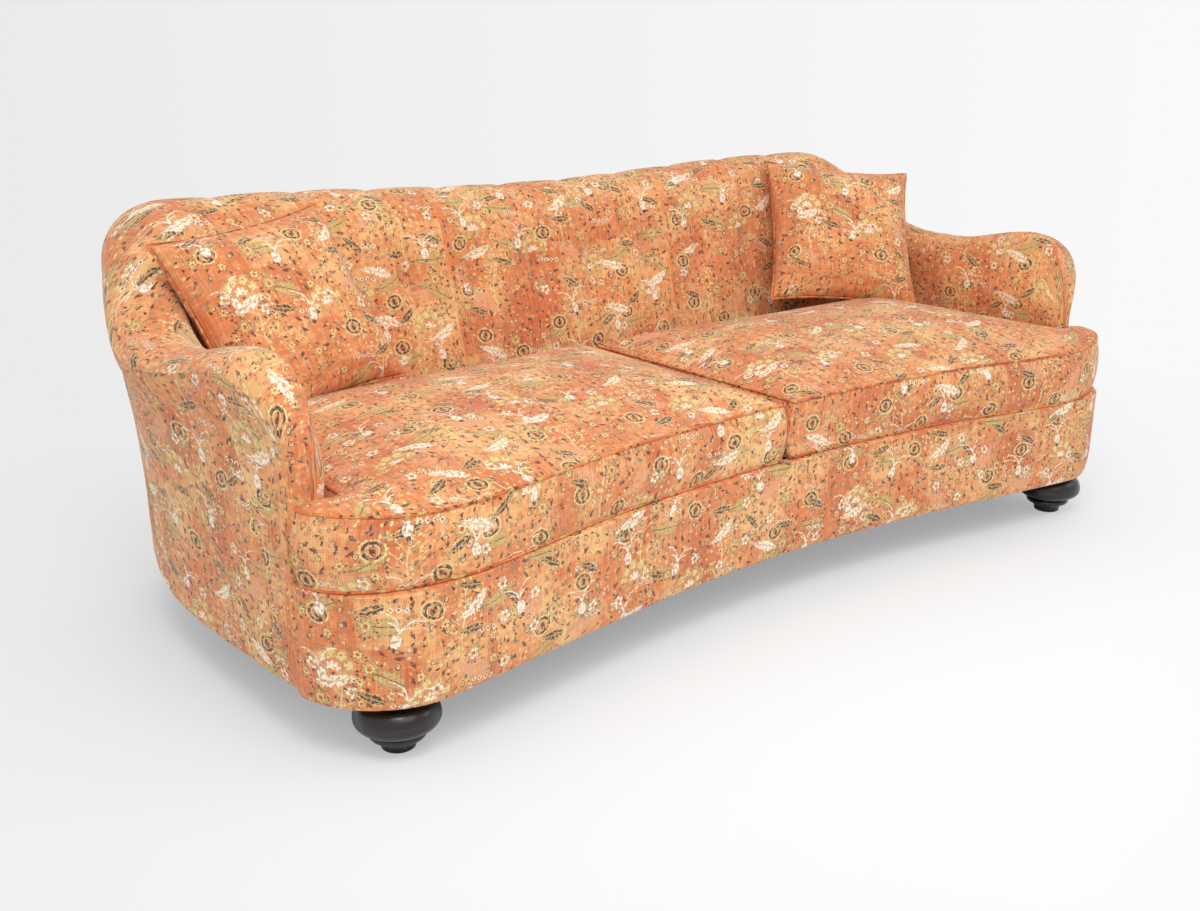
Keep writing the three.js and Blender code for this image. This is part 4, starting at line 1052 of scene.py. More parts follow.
def panel_inset(place, height):
    s = section(place)
    middle = (SEAT_BOTTOM + s["seam_height"]) / 2
    return tuck(height) - s["flare"] * ease(height, middle, s["seam_height"]) ** 2


def arm_end(side):
    """Place of an arm's front end, on side -1 or 1."""
    return 0.0 if side < 0 else float(WALL_END)


def seam_columns(height, share, columns):
    """Places on an arm's outer wall: one column of points runs along the seam."""
    column = np.arange(columns)[:, None]
    front = arm_seam(share) + SEAM_SHARE
    seam = np.interp(height, SEAM_HEIGHTS, SEAM_PLACES)
    ahead = column / SEAM_COLUMN
    behind = (column - SEAM_COLUMN) / (columns - 1 - SEAM_COLUMN)
    return np.where(ahead < 1, mix(front, seam, ahead), mix(seam, BACK_CORNER - SEAM_SHARE, behind))


def outside_cover(name, places, side):
    """A flat cover over the outside wall. An arm's, on side -1 or 1, has a seam that leans back."""
    share = np.repeat(np.concatenate([COVER_ROWS, COVER_ROWS[::-4]])[None, :], len(places), 0)
    columns, around = share.shape
    column = np.arange(columns)[:, None]
    place = np.repeat(places[:, None], around, 1)
    height = mix(FOOT_HEIGHT, section(place)["seam_height"] - GAP, share)
    if side:
        q = seam_columns(height, share, columns)
        height = mix(FOOT_HEIGHT, section(q)["seam_height"] - GAP, share)
        place = q if side < 0 else WALL_END - q
    inset = panel_inset(place, height)
    sag = COVER_SAG * ripple(at(place, inset, height), *COVER_RIPPLE)
    sag = sag * ease(share, 0, COVER_QUIET_EDGE) * ease(1 - share, 0, COVER_QUIET_EDGE)
    top_edge = EDGE_DRAW * np.exp(-(1 - share) * EDGE_SHARPNESS)
    if side:
        top_edge = top_edge * ease(column, SEAM_COLUMN - 1, SEAM_COLUMN + 2)
    edge = EDGE_DRAW * np.exp(-share * EDGE_SHARPNESS) + top_edge
    if side:
        groove = SEAM_GROOVE * hump(column - SEAM_COLUMN, SEAM_GROOVE_COLUMNS)
        ridge = SEAM_RIDGE * hump(column - SEAM_COLUMN - SEAM_RIDGE_BEHIND, SEAM_RIDGE_COLUMNS)
        edge = edge + groove - ridge
    depth = np.where(np.arange(around) >= len(COVER_ROWS), COVER_THICKNESS, sag + edge)
    lean = wall_lean(fold(place), height)
    inset = np.where(height < MOST_INSET_HEIGHT, np.minimum(inset, MOST_INSET - lean), inset)
    n, z = tapered(place, inset + depth, height)
    run = print_run(place)
    cover = loft(name, at(place, n + lean, lowered(z)), np.stack([-run, height], -1), finish_of("print"))
    if side:
        front_run = print_run(np.full(1, arm_end(side)))[0]
        round_front = section(np.zeros(1))["width"][0] + NOSE_LENGTH
        wrapped = np.stack([front_run + side * round_front - (run - front_run), height], -1)
        crest = np.stack(skin(np.zeros(CREST_STEPS), np.linspace(0, 1, CREST_STEPS)), -1)
        over = PAD_FOOT + running(crest)[-1]
        rolled = np.stack([run, over + section(place)["seam_height"] - height], -1)
        in_front = (column[:-1] < SEAM_COLUMN) & (np.arange(around) < len(COVER_ROWS) - 1)
        above = height[:-1] > PLEAT_HEIGHT
        place_again(cover, around, in_front & ~above, wrapped)
        place_again(cover, around, in_front & above, rolled)
    return cover


# Arm fronts

NOSE_STEPS = 150
NOSE_PASSES = 54
NOSE_RINGS = (0, 0.06, 0.13, 0.21, 0.3, 0.39, 0.48, 0.57, 0.66, 0.74, 0.82, 0.89, 0.94, 0.975, 0.993)
NOSE_DOWN_STEPS = 34
NOSE_FOOT_CLEAR = 0.004
BACKING_DRAW = 0.1
NOSE_PLEAT_DEPTH, NOSE_PLEAT_REACH = 0.0045, 0.0045
PLEAT_LIP, PLEAT_LIP_RISE, PLEAT_LIP_REACH = 0.003, 0.009, 0.007
NOSE_PLEAT_START, NOSE_PLEAT_END = (0.02, 0.12), (0.45, 0.7)
CREST_PRINT_REACH = 0.125
# Kinds of points round an arm front
OVER_FOOT, OUTER_SIDE = 0, 2


def nose_outline(base, low):
    """Depth, height, place and kind of the points round an arm front: foot, over the roll and down."""
    t = np.linspace(0.0, 1, NOSE_STEPS)
    n, z = (soften(v[None, :], NOSE_PASSES)[0] for v in skin(np.zeros_like(t), t))
    n = n + arm_bulge(z, t)
    keep = z > low + NOSE_FOOT_CLEAR
    over = np.stack([n[keep], z[keep], np.full(keep.sum(), -SEAM_SHARE), t[keep]], 1)
    shares = np.linspace(1, BORDER_RISE_SHARE, NOSE_DOWN_STEPS)[1:]
    heights = np.maximum(low, mix(FOOT_HEIGHT, base["seam_height"], shares))
    insets = panel_inset(np.zeros_like(heights), heights)
    kinds = np.full_like(heights, OUTER_SIDE)
    down = np.stack([insets, heights, arm_seam(shares) - SEAM_SHARE, kinds], 1)
    foot = np.array([[base["width"], low, -SEAM_SHARE, OVER_FOOT]])
    return np.concatenate([foot, over, down]).T


def arm_front(name, side):
    """The roll's cover drawn forward and in to a rounded front, with a short pleat on its outer side."""
    base = {key: float(value) for key, value in section(0.0).items()}
    low = SEAT_BOTTOM + GAP
    n, z, place, kind = nose_outline(base, low)
    start_n, start_z = tapered(np.zeros_like(n), n, z)
    place_side = place if side < 0 else WALL_END - place
    forward = wall(np.array(arm_end(side)))[3]
    ahead = np.array([forward[0], forward[1], 0.0])
    tip_z = mix(low, base["top"] - NOSE_TOP_DROP, np.clip((z - low) / (base["top"] - low), 0, 1))
    middle = base["width"] / 2
    length_round = running(at(place_side, start_n, start_z))
    rings, across, sizes = [], [], []
    for share in NOSE_RINGS:
        turn = math.sin(share * math.pi / 2)
        k = mix(NOSE_START, 1, turn)
        size = taper_size(k) / taper_size(NOSE_START)
        ring = at(place_side, middle + (start_n - middle) * size, tip_z + (start_z - tip_z) * size)
        out = (NOSE_LENGTH + place * PLAN_STEP) * (k - NOSE_START) / (1 - NOSE_START)
        rise = ring[:, 2] - PLEAT_HEIGHT
        outer = (n < middle) * ease(share, *NOSE_PLEAT_START) * (1 - ease(share, *NOSE_PLEAT_END))
        lip = PLEAT_LIP * hump(rise - PLEAT_LIP_RISE, PLEAT_LIP_REACH)
        pleat = NOSE_PLEAT_DEPTH * hump(rise, NOSE_PLEAT_REACH) - lip
        rings.append(ring + ahead * (out - outer * pleat)[:, None])
        travel = NOSE_LENGTH / 2 * turn
        beyond = np.where(n > middle, travel, NOSE_LENGTH - travel)
        across.append(base["width"] - (middle + (n - middle) * size) + beyond)
        sizes.append(size)
    backed = kind >= 1
    in_behind = np.where(backed, start_n + COVER_THICKNESS + 2 * GAP, mix(start_n, middle, BACKING_DRAW))
    behind = at(place_side, in_behind, np.where(backed, start_z, mix(start_z, tip_z, BACKING_DRAW)))
    rings = np.array([behind, *rings])
    front_run = print_run(np.full(1, arm_end(side)))[0]
    across = front_run + side * np.array([across[0], *across])
    cover = loft(name, rings, np.stack([across, rings[..., 2]], -1), finish_of("print"))
    summit = length_round[np.argmax(start_z)]
    drawn_round = low + summit + (length_round - summit) * np.array([1.0, *sizes])[:, None]
    steps = np.linalg.norm(np.diff(rings[1:], axis=0), axis=-1)
    gone = np.concatenate([np.zeros((2, len(n))), np.cumsum(steps, 0)])
    crested = np.stack([front_run + side * gone, drawn_round], -1)
    over_top = np.abs(length_round - summit) < CREST_PRINT_REACH
    high_out = (n < middle) & (length_round > summit)
    picked = np.where(high_out, rings[:-1, :, 2] > PLEAT_HEIGHT, over_top)
    place_again(cover, len(n), picked, crested)
    return cover


# Front border

CORNER_STEPS, FRONT_STEPS = 36, 84
TUCK_STEPS, TUCK_POWER = 16, 1.6
STRAIGHT_STEPS, EDGE_STEPS = 14, 6
BORDER_RIPPLE = (0.14, 12.0)
BORDER_SAG_START = 0.02


def sweep_curve(x, setback, sweep):
    k = (x / HALF_WIDTH) ** 2
    return setback - sweep * (k - FLATTENING_SHARE * k * k) / (1 - FLATTENING_SHARE)


def border_plan():
    """Plan of the border from its left return, round both corners, and the directions in under the seat."""
    corner_x = BORDER_CORNER_HALF_WIDTH - BORDER_CORNER_RADIUS
    corner_y = sweep_curve(corner_x, FRONT_SETBACK, FRONT_SWEEP) + BORDER_CORNER_RADIUS
    start = math.asin((corner_y - BORDER_RETURN) / BORDER_CORNER_RADIUS)
    turn = np.linspace(start, math.pi / 2, CORNER_STEPS)
    corner = np.stack([
        corner_x + BORDER_CORNER_RADIUS * np.cos(turn),
        corner_y - BORDER_CORNER_RADIUS * np.sin(turn),
    ], 1)
    x = np.linspace(corner_x, 0, FRONT_STEPS)[1:]
    half = np.concatenate([corner, np.stack([x, sweep_curve(x, FRONT_SETBACK, FRONT_SWEEP)], 1)])
    plan = np.concatenate([half * (-1, 1), half[:-1][::-1]])
    way = np.gradient(plan, axis=0)
    way /= np.linalg.norm(way, axis=1)[:, None]
    inward = np.stack([-way[:, 1], way[:, 0]], 1)
    inward[0] = wall(np.array(BORDER_END))[1]
    inward[-1] = wall(np.array(WALL_END - BORDER_END))[1]
    return plan, inward


def front_border():
    """The padded band below the seat, tucked under at its foot, with a rounded upper edge."""
    plan, inward = border_plan()
    top = SEAT_BOTTOM - GAP
    rise = FOOT_HEIGHT + TUCK_HEIGHT * np.linspace(0, 1, TUCK_STEPS) ** TUCK_POWER
    straight = np.linspace(rise[-1], top - BORDER_EDGE_ROUND, STRAIGHT_STEPS)[1:]
    round_turn = np.linspace(0, math.pi / 2, EDGE_STEPS)[1:]
    inset = np.concatenate([
        tuck(rise),
        np.zeros(len(straight)),
        BORDER_EDGE_ROUND * (1 - np.cos(round_turn)),
        [BORDER_THICKNESS, BORDER_THICKNESS],
    ])
    height = np.concatenate([
        rise, straight, top - BORDER_EDGE_ROUND * (1 - np.sin(round_turn)), [top, FOOT_HEIGHT]
    ])
    flat = plan[:, None] + inward[:, None] * inset[None, :, None]
    z = np.broadcast_to(height, flat.shape[:2])
    rings = np.stack([flat[..., 0], flat[..., 1] + PLAN_SHIFT, lowered(z)], -1)
    face = np.arange(len(height)) < len(rise) + len(straight)
    sag_start = ease(height, FOOT_HEIGHT, FOOT_HEIGHT + BORDER_SAG_START)
    sag = BORDER_SKIN * ripple(rings, *BORDER_RIPPLE) * face * sag_start
    rings[..., :2] += inward[:, None] * (BORDER_SKIN + sag)[..., None] * face[None, :, None]
    along = running(plan)[:, None] * np.ones(len(height))
    up = running(np.stack([inset, height], 1)) + FOOT_HEIGHT
    places_on = np.stack([along, np.broadcast_to(up, along.shape)], -1)
    return loft("front_border_cover", rings, places_on, finish_of("print"))


# Soft fillings


SETTLE_FRAMES = 20
CLOTH_SETTINGS = {
    "quality": 6,
    "mass": 0.25,
    "tension_stiffness": 18.0,
    "compression_stiffness": 18.0,
    "shear_stiffness": 6.0,
    "bending_stiffness": 0.6,
    "use_pressure": True,
}


def evaluated(obj):
    return obj.evaluated_get(bpy.context.evaluated_depsgraph_get())


def points_of(obj):
    return np.array([v.co[:] for v in obj.data.vertices])


def settle(obj, pressure, cap, held=None):
    """Swells a closed piece of cloth by air pressure, with how far a point may go capped."""
    scene = bpy.context.scene
    start = points_of(obj)
    cloth = obj.modifiers.new("swell", "CLOTH")
    sizes = cloth.settings
    for key, value in CLOTH_SETTINGS.items():
        setattr(sizes, key, value)
    sizes.uniform_pressure_force = pressure
    sizes.effector_weights.gravity = 0
    cloth.point_cache.frame_start = 1
    cloth.point_cache.frame_end = SETTLE_FRAMES
    if held is not None:
        group = obj.vertex_groups.new(name="held")
        for share in np.unique(held[held > 0]):
            group.add([int(i) for i in np.flatnonzero(held == share)], float(share), "REPLACE")
        sizes.vertex_group_mass = "held"
        sizes.pin_stiffness = 1.0
    for number in range(1, SETTLE_FRAMES + 1):
        scene.frame_set(number)
    swollen = points_of(evaluated(obj))
    obj.modifiers.remove(cloth)
    scene.frame_set(1)
    move = swollen - start
    far = np.linalg.norm(move, axis=1)
    move *= np.minimum(1, cap / np.maximum(far, 1e-9))[:, None]
    obj.data.vertices.foreach_set("co", (start + move).astype(np.float32).ravel())
    obj.data.update()


def subdivide(obj):
    """Applies one level of smooth subdivision, so that the piece keeps no live modifier."""
    finer = obj.modifiers.new("finer", "SUBSURF")
    finer.levels = finer.render_levels = 1
    mesh = bpy.data.meshes.new_from_object(evaluated(obj))
    obj.modifiers.clear()
    old = obj.data
    obj.data = mesh
    bpy.data.meshes.remove(old)
    obj.data.polygons.foreach_set("use_smooth", [True] * len(obj.data.polygons))


def evenly(points, count):
    """A number of points in equal steps round a closed outline, with the first one again at the end."""
    ring = closed(points)
    run = running(ring)
    where = np.linspace(0, run[-1], count)
    return np.stack([np.interp(where, run, ring[:, i]) for i in range(2)], 1)


def resample(points, pitch):
    """The same closed outline in equal steps."""
    count = int(round(running(closed(points))[-1] / pitch))
    return evenly(points, count + 1)[:-1]


CUSHION_FRONT_STEPS, EAR_STEPS, REAR_STEPS, SEAM_STEPS = 60, 40, 70, 12


def cushion_outline():
    """Right seat cushion's outline, from the middle seam round by the ear to the back."""
    half_seam = CUSHION_SEAM_GAP / 2
    front_end = CUSHION_HALF_WIDTH - EAR_CORNER_WIDTH
    x = np.linspace(half_seam, front_end, CUSHION_FRONT_STEPS)
    front = np.stack([x, sweep_curve(x, SEAT_SETBACK, SEAT_SWEEP)], 1)
    cy = front[-1, 1] + EAR_CORNER_LENGTH
    last = math.acos(((cy - EAR_DEPTH + EAR_TIP_RADIUS) / EAR_CORNER_LENGTH) ** (1 / EAR_POWER_SHARE))
    turn = np.linspace(0, last, EAR_STEPS)[1:]
    corner = np.stack([
        front_end + EAR_CORNER_WIDTH * np.sin(turn) ** EAR_POWER_SHARE,
        cy - EAR_CORNER_LENGTH * np.cos(turn) ** EAR_POWER_SHARE,
    ], 1)
    tip = corner[-1, 0]
    side = INNER_FACE_SHARES[0][0] * HALF_WIDTH - CUSHION_WALL_GAP - FACE_CROWN
    ear = np.array([
        [tip - EAR_TIP_RADIUS / 3, EAR_DEPTH - EAR_TIP_RADIUS / 3],
        [tip - EAR_TIP_RADIUS, EAR_DEPTH],
        [side + EAR_TIP_RADIUS, EAR_DEPTH],
        [side, EAR_DEPTH + EAR_TIP_RADIUS],
    ])
    places = WALL_END - np.linspace(*REAR_SPAN, REAR_STEPS)
    outer, inward, width, _ = wall(places)
    rear = outer + inward * (width + FACE_CROWN + CUSHION_WALL_GAP)[:, None]
    corner_y = rear[-1, 1]
    seam_y = np.linspace(corner_y, front[0, 1], SEAM_STEPS + 1)[:-1]
    middle = np.stack([np.full(SEAM_STEPS, half_seam), seam_y], 1)
    return np.concatenate([front, corner, ear, rear, middle])


# Shares of a plan's pitch: between its rows, and clear of its outline and its holes
ROW_SHARE, EDGE_CLEAR, HOLE_CLEAR = 0.866, 0.6, 0.7


def filled_plan(outline, pitch, holes=()):
    """Points and triangles that fill an outline round its holes. The outline's own points come first."""
    low, high = outline.min(0), outline.max(0)
    rows = []
    for j, y in enumerate(np.arange(low[1], high[1], pitch * ROW_SHARE)):
        x = np.arange(low[0] + (j % 2) * pitch / 2, high[0], pitch)
        rows.append(np.stack([x, np.full_like(x, y)], 1))
    inner = np.concatenate(rows)
    away, inside = outline_distance(outline, inner)
    inner = inner[inside & (away > pitch * EDGE_CLEAR)]
    for hole in holes:
        inner = inner[np.linalg.norm(inner - hole.mean(0), axis=1) > pitch * HOLE_CLEAR]
    coords = [Vector(p) for p in np.concatenate([outline, *holes, inner])]
    ring = [(i, (i + 1) % len(outline)) for i in range(len(outline))]
    first = len(outline)
    for hole in holes:
        ring += [(first + i, first + (i + 1) % len(hole)) for i in range(len(hole))]
        first += len(hole)
    made = geometry.delaunay_2d_cdt(coords, ring, [], 1, 1e-6)
    points = np.array([p[:] for p in made[0]])
    faces = [tuple(f) for f in made[2]]
    for hole in holes:
        middle, radius = hole.mean(0), np.linalg.norm(hole[0] - hole.mean(0))
        faces = [f for f in faces if np.linalg.norm(points[list(f)].mean(0) - middle) > radius]
    return points, faces, made[3]


def outline_distance(outline, points):
    """How far points lie from a closed outline, and whether they are inside it."""
    a, b = outline, np.roll(outline, -1, 0)
    along = b - a
    rel = points[:, None] - a
    k = np.clip((rel * along).sum(-1) / (along * along).sum(-1), 0, 1)
    away = np.linalg.norm(rel - along * k[..., None], axis=-1).min(1)
    crosses = (a[:, 1] > points[:, None, 1]) != (b[:, 1] > points[:, None, 1])
    safe = np.where(along[:, 1] == 0, 1e-12, along[:, 1])
    x_at = a[:, 0] + (points[:, None, 1] - a[:, 1]) / safe * along[:, 0]
    return away, (crosses & (points[:, None, 0] < x_at)).sum(1) % 2 == 1


CUSHION_PITCH = 0.013
BORDER_ROWS = 11
CUSHION_HEART = (0.46 * HALF_WIDTH, 0.12 * WALL_DEPTH)
# How far the print is moved from piece to piece
UNDERSIDE_SHIFT = 0.2
BOXING_SHIFT = 0.11


def seat_cushion_mesh(name, side):
    """A closed cushion: a crowned top, a bulging border between two seams and a flat underside."""
    outline = resample(cushion_outline(), CUSHION_PITCH)
    plan, fill, origins = filled_plan(outline, CUSHION_PITCH)
    count = len(outline)
    order = [next(i for i, o in enumerate(origins) if k in o) for k in range(count)]
    away, _ = outline_distance(outline, plan)
    away[order] = 0
    heart_way = plan - CUSHION_HEART
    draw = heart_way / np.maximum(np.linalg.norm(heart_way, axis=1), 1e-6)[:, None]
    drawn = CUSHION_BULGE * np.exp(-away / BULGE_REACH)[:, None]
    flat = plan - draw * drawn
    low, high = SEAT_BOTTOM + GAP, SEAT_BOTTOM + CUSHION_BORDER
    seam_side = plan[:, 0] - CUSHION_SEAM_GAP / 2
    off_seam = np.delete(outline, np.flatnonzero(outline[:, 0] < CUSHION_SEAM_GAP), 0)
    others, _ = outline_distance(off_seam, plan)
    rise_from = np.minimum(others, seam_side * CROWN_SEAM_SLOPE)
    rise_from[order] = 0
    share = 1 - np.clip(rise_from / CROWN_REACH, 0, 1)
    crown = CUSHION_CROWN * (1 - share**CROWN_POWER)
    lift = EAR_LIFT * ease(plan[:, 0], *EAR_LIFT_SPAN)
    top = np.column_stack([flat, high + crown + lift])
    bottom = np.column_stack([flat, np.full(len(flat), low)])
    points = [top, bottom]
    ring_draw = draw[order]
    edge = plan[order]
    rows = np.linspace(0, 1, BORDER_ROWS + 1)[1:-1]
    for k in rows:
        inset = CUSHION_BULGE * np.abs(2 * k - 1) ** BULGE_SQUARENESS
        points.append(np.column_stack([edge - ring_draw * inset, mix(low, high + lift[order], k)]))
    points = np.concatenate(points)
    size = len(plan)
    under_ring = [size + i for i in order]
    border_rings = [[2 * size + r * count + i for i in range(count)] for r in range(len(rows))]
    bands = [under_ring, *border_rings, order]
    run = running(closed(edge))
    faces = [tuple(f) for f in fill]
    corners = [[(side * plan[i, 0], plan[i, 1]) for i in f] for f in fill]
    faces += [tuple(size + i for i in reversed(f)) for f in fill]
    corners += [[(side * plan[i, 0], plan[i, 1] + UNDERSIDE_SHIFT) for i in reversed(f)] for f in fill]
    heights = np.linspace(low, high, BORDER_ROWS + 1) + BOXING_SHIFT
    for cell in quads(BORDER_ROWS + 1, count):
        faces.append(tuple(bands[r][i] for r, i in cell))
    for r in range(BORDER_ROWS):
        for i in range(count):
            spots = ((r, i), (r, i + 1), (r + 1, i + 1), (r + 1, i))
            corners.append([(side * run[i], heights[r]) for r, i in spots])
    points[:, 0] *= side
    points[:, 1] += PLAN_SHIFT
    obj = new_mesh(name, points, faces, corners, finish_of("print"))
    face_outwards(obj)
    return obj, order, under_ring


def sewn_path(obj, ring, lift):
    """The line of a seam's points, moved out of the cloth."""
    normals = np.array([obj.data.vertices[i].normal[:] for i in ring])
    return points_of(obj)[ring] + normals * lift


# Welts and staples, made by geometry nodes along a line

STAPLE_SPACING = 0.042
WELT_SIDES = 10


def open_tree(name, inputs):
    """A tree with named inputs, the node that gives them, and the curve that its mesh of edges stands for."""
    tree = bpy.data.node_groups.new(name, "GeometryNodeTree")
    sockets = [("Geometry", "INPUT", "Geometry", None), *inputs, ("Geometry", "OUTPUT", "Geometry", None)]
    for label, way, kind, value in sockets:
        made = tree.interface.new_socket(label, in_out=way, socket_type="NodeSocket" + kind)
        if value is not None:
            made.default_value = value
    given = add_node(tree, "NodeGroupInput").outputs
    line = add_node(tree, "GeometryNodeMeshToCurve", None, Mesh=given["Geometry"]).outputs[0]
    return tree, given, line


def close_tree(tree, shape, material):
    """The last nodes: Realize Instances, Set Material and the output."""
    whole = add_node(tree, "GeometryNodeRealizeInstances", None, Geometry=shape)
    covered = add_node(tree, "GeometryNodeSetMaterial", None, Geometry=whole.outputs[0], Material=material)
    tree.links.new(covered.outputs[0], add_node(tree, "NodeGroupOutput").inputs[0])
    return tree


def welt_tree():
    """A round welt along a line: its radius, its sides and its material."""
    name = "welt_along_seam"
    if name in bpy.data.node_groups:
        return bpy.data.node_groups[name]
    tree, given, line = open_tree(name, [
        ("Radius", "INPUT", "Float", 0.004),
        ("Sides", "INPUT", "Int", WELT_SIDES),
        ("Cloth", "INPUT", "Material", None),
    ])
    around = add_node(
        tree, "GeometryNodeCurvePrimitiveCircle", None, Resolution=given["Sides"], Radius=given["Radius"],
    )
    tube = add_node(
        tree, "GeometryNodeCurveToMesh", None, Curve=line, Profile_Curve=around.outputs[0], Fill_Caps=True,
    )
    smooth = add_node(tree, "GeometryNodeSetShadeSmooth", None, Geometry=tube.outputs[0])
    return close_tree(tree, smooth.outputs[0], given["Cloth"])


def staple_tree():
    """Staples along a line: their spacing, their size, a seed for their unevenness and their material."""
    tree, given, line = open_tree("staples_along_line", [
        ("Spacing", "INPUT", "Float", STAPLE_SPACING),
        ("Length", "INPUT", "Float", 0.011),
        ("Wire", "INPUT", "Float", 0.0011),
        ("Seed", "INPUT", "Int", 4),
        ("Steel", "INPUT", "Material", None),
    ])
    spread = add_node(
        tree, "GeometryNodeResampleCurve", {"mode": "LENGTH"}, Curve=line, Length=given["Spacing"],
    )
    size = add_node(tree, "ShaderNodeCombineXYZ", None, X=given["Length"], Y=given["Wire"], Z=given["Wire"])
    bar = add_node(tree, "GeometryNodeMeshCube", None, Size=size.outputs[0])
    wobble = add_node(
        tree, "FunctionNodeRandomValue", {"data_type": "FLOAT"}, i2=-0.5, i3=0.5, Seed=given["Seed"],
    )
    way = add_node(tree, "GeometryNodeInputTangent")
    turn = add_node(tree, "FunctionNodeAlignRotationToVector", {"axis": "X"}, Vector=way.outputs[0])
    lean = add_node(tree, "ShaderNodeCombineXYZ", None, Z=wobble.outputs[1])
    both = add_node(
        tree, "FunctionNodeRotateRotation", {"rotation_space": "LOCAL"},
        Rotation=turn.outputs[0], Rotate_By=lean.outputs[0],
    )
    set_down = add_node(
        tree, "GeometryNodeInstanceOnPoints", None,
        Points=spread.outputs[0], Instance=bar.outputs[0], Rotation=both.outputs[0],
    )
    return close_tree(tree, set_down.outputs[0], given["Steel"])


def grown(name, path, tree, values, joined_up):
    """The plain mesh that a geometry nodes tree makes along a path, open or joined up."""
    edges = [(i, i + 1) for i in range(len(path) - 1)] + [(len(path) - 1, 0)] * joined_up
    start = bpy.data.meshes.new(name + "_line")
    start.from_pydata([tuple(map(float, p)) for p in path], edges, [])
    holder = bpy.data.objects.new(name + "_line", start)
    bpy.context.scene.collection.objects.link(holder)
    grower = holder.modifiers.new("grow", "NODES")
    grower.node_group = tree
    for item in tree.interface.items_tree:
        if item.item_type == "SOCKET" and item.in_out == "INPUT" and item.name in values:
            grower[item.identifier] = values[item.name]
    mesh = bpy.data.meshes.new_from_object(evaluated(holder))
    bpy.data.objects.remove(holder)
    obj = bpy.data.objects.new(name, mesh)
    bpy.context.scene.collection.objects.link(obj)
    return obj


def welt(name, path, radius):
    """A welt round a closed seam."""
    values = {"Radius": radius, "Sides": WELT_SIDES, "Cloth": finish_of("welt")}
    return grown(name, path, welt_tree(), values, True)


# Deck pad and dust cover

DECK_THICKNESS = 0.0361
DECK_PITCH = 0.026
DUST_COVER_THICKNESS = 0.0012
DUST_COVER_SAG = 0.006
BOLT_HOLE_RADIUS = 0.0055
DECK_ROUND, DECK_ROUND_REACH = 0.006, 0.03
SPRING_DENT, SPRING_PITCH, SPRING_DENT_FULL = 0.0012, 0.101, 0.12
DECK_CORNER_GAP = 0.002
DECK_FOOT_ROUND, DECK_FOOT_REACH = 0.004, 0.02
DECK_STEPS, DECK_SIDE_STEPS, DECK_SIDE_START = 90, 70, 0.2
COVER_STEPS, HOLE_STEPS = 90, 12
SLACK_SPAN, BOLT_FLAT_SPAN = (0.02, 0.3), (0.08, 0.2)
SLACK_EVEN, SLACK_WAVE, SLACK_WAVES = 0.8, 0.2, 7.0
STAPLE_LINE_STEPS = 600
STAPLE_INSET = 0.012
STAPLE_DEPTH = 0.0004


def foot_middle(corner):
    low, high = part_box("bun_foot_" + corner)
    return (low.x + high.x) / 2, (low.y + high.y) / 2


def slab(name, outline, pitch, upper, lower, material, holes=()):
    """A closed body between two heights, given by functions of plan and of distance from the edge."""
    plan, fill, _ = filled_plan(outline, pitch, holes)
    away, _ = outline_distance(outline, plan)
    size = len(plan)
    top = np.column_stack([plan, upper(plan, away)])
    bottom = np.column_stack([plan, lower(plan, away)])
    faces = [tuple(f) for f in fill] + [tuple(size + i for i in reversed(f)) for f in fill]
    rims = {}
    for f in fill:
        for a, b in zip(f, (*f[1:], f[0])):
            if rims.pop((b, a), None) is None:
                rims[(a, b)] = True
    faces += [(a, size + a, size + b, b) for a, b in rims]
    points = np.concatenate([top, bottom])
    points[:, 1] += PLAN_SHIFT
    obj = new_mesh(name, points, faces, None, material)
    face_outwards(obj)
    obj.data.set_sharp_from_angle(angle=SHARP_ANGLE)
    return obj


def deck_outline():
    """Plan of the deck pad: behind the front border, and up to the padding at its sides and back."""
    corner_x = BORDER_CORNER_HALF_WIDTH - BORDER_CORNER_RADIUS - DECK_CORNER_GAP
    x = np.linspace(-corner_x, corner_x, DECK_STEPS)
    front = np.stack([x, sweep_curve(x, FRONT_SETBACK, FRONT_SWEEP) + BORDER_THICKNESS + 4 * GAP], 1)
    places = WALL_END - np.linspace(DECK_SIDE_START, MID_BACK, DECK_SIDE_STEPS)
    outer, inward, width, _ = wall(places)
    right = outer + inward * (width + FACE_CROWN + GAP)[:, None]
    left = right[:-1][::-1] * (-1, 1)
    return np.concatenate([front, right, left])


def deck_pad():
    """The pad over the springs, with a rounded edge and a slight dent between springs."""
    outline = resample(deck_outline(), DECK_PITCH)
    low, high = SEAT_BOTTOM - GAP - DECK_THICKNESS, SEAT_BOTTOM - GAP

    def upper(plan, away):
        round_off = DECK_ROUND * (1 - np.sqrt(1 - (1 - np.clip(away / DECK_ROUND_REACH, 0, 1)) ** 2))
        dents = SPRING_DENT * (1 - np.cos(plan[:, 0] * 2 * math.pi / SPRING_PITCH))
        return high - round_off - dents * ease(away, DECK_ROUND_REACH, SPRING_DENT_FULL)

    def lower(plan, away):
        return np.full(len(plan), low) + DECK_FOOT_ROUND * (1 - ease(away, 0, DECK_FOOT_REACH))

    return slab("deck_pad", outline, DECK_PITCH, upper, lower, finish_of("deck"))


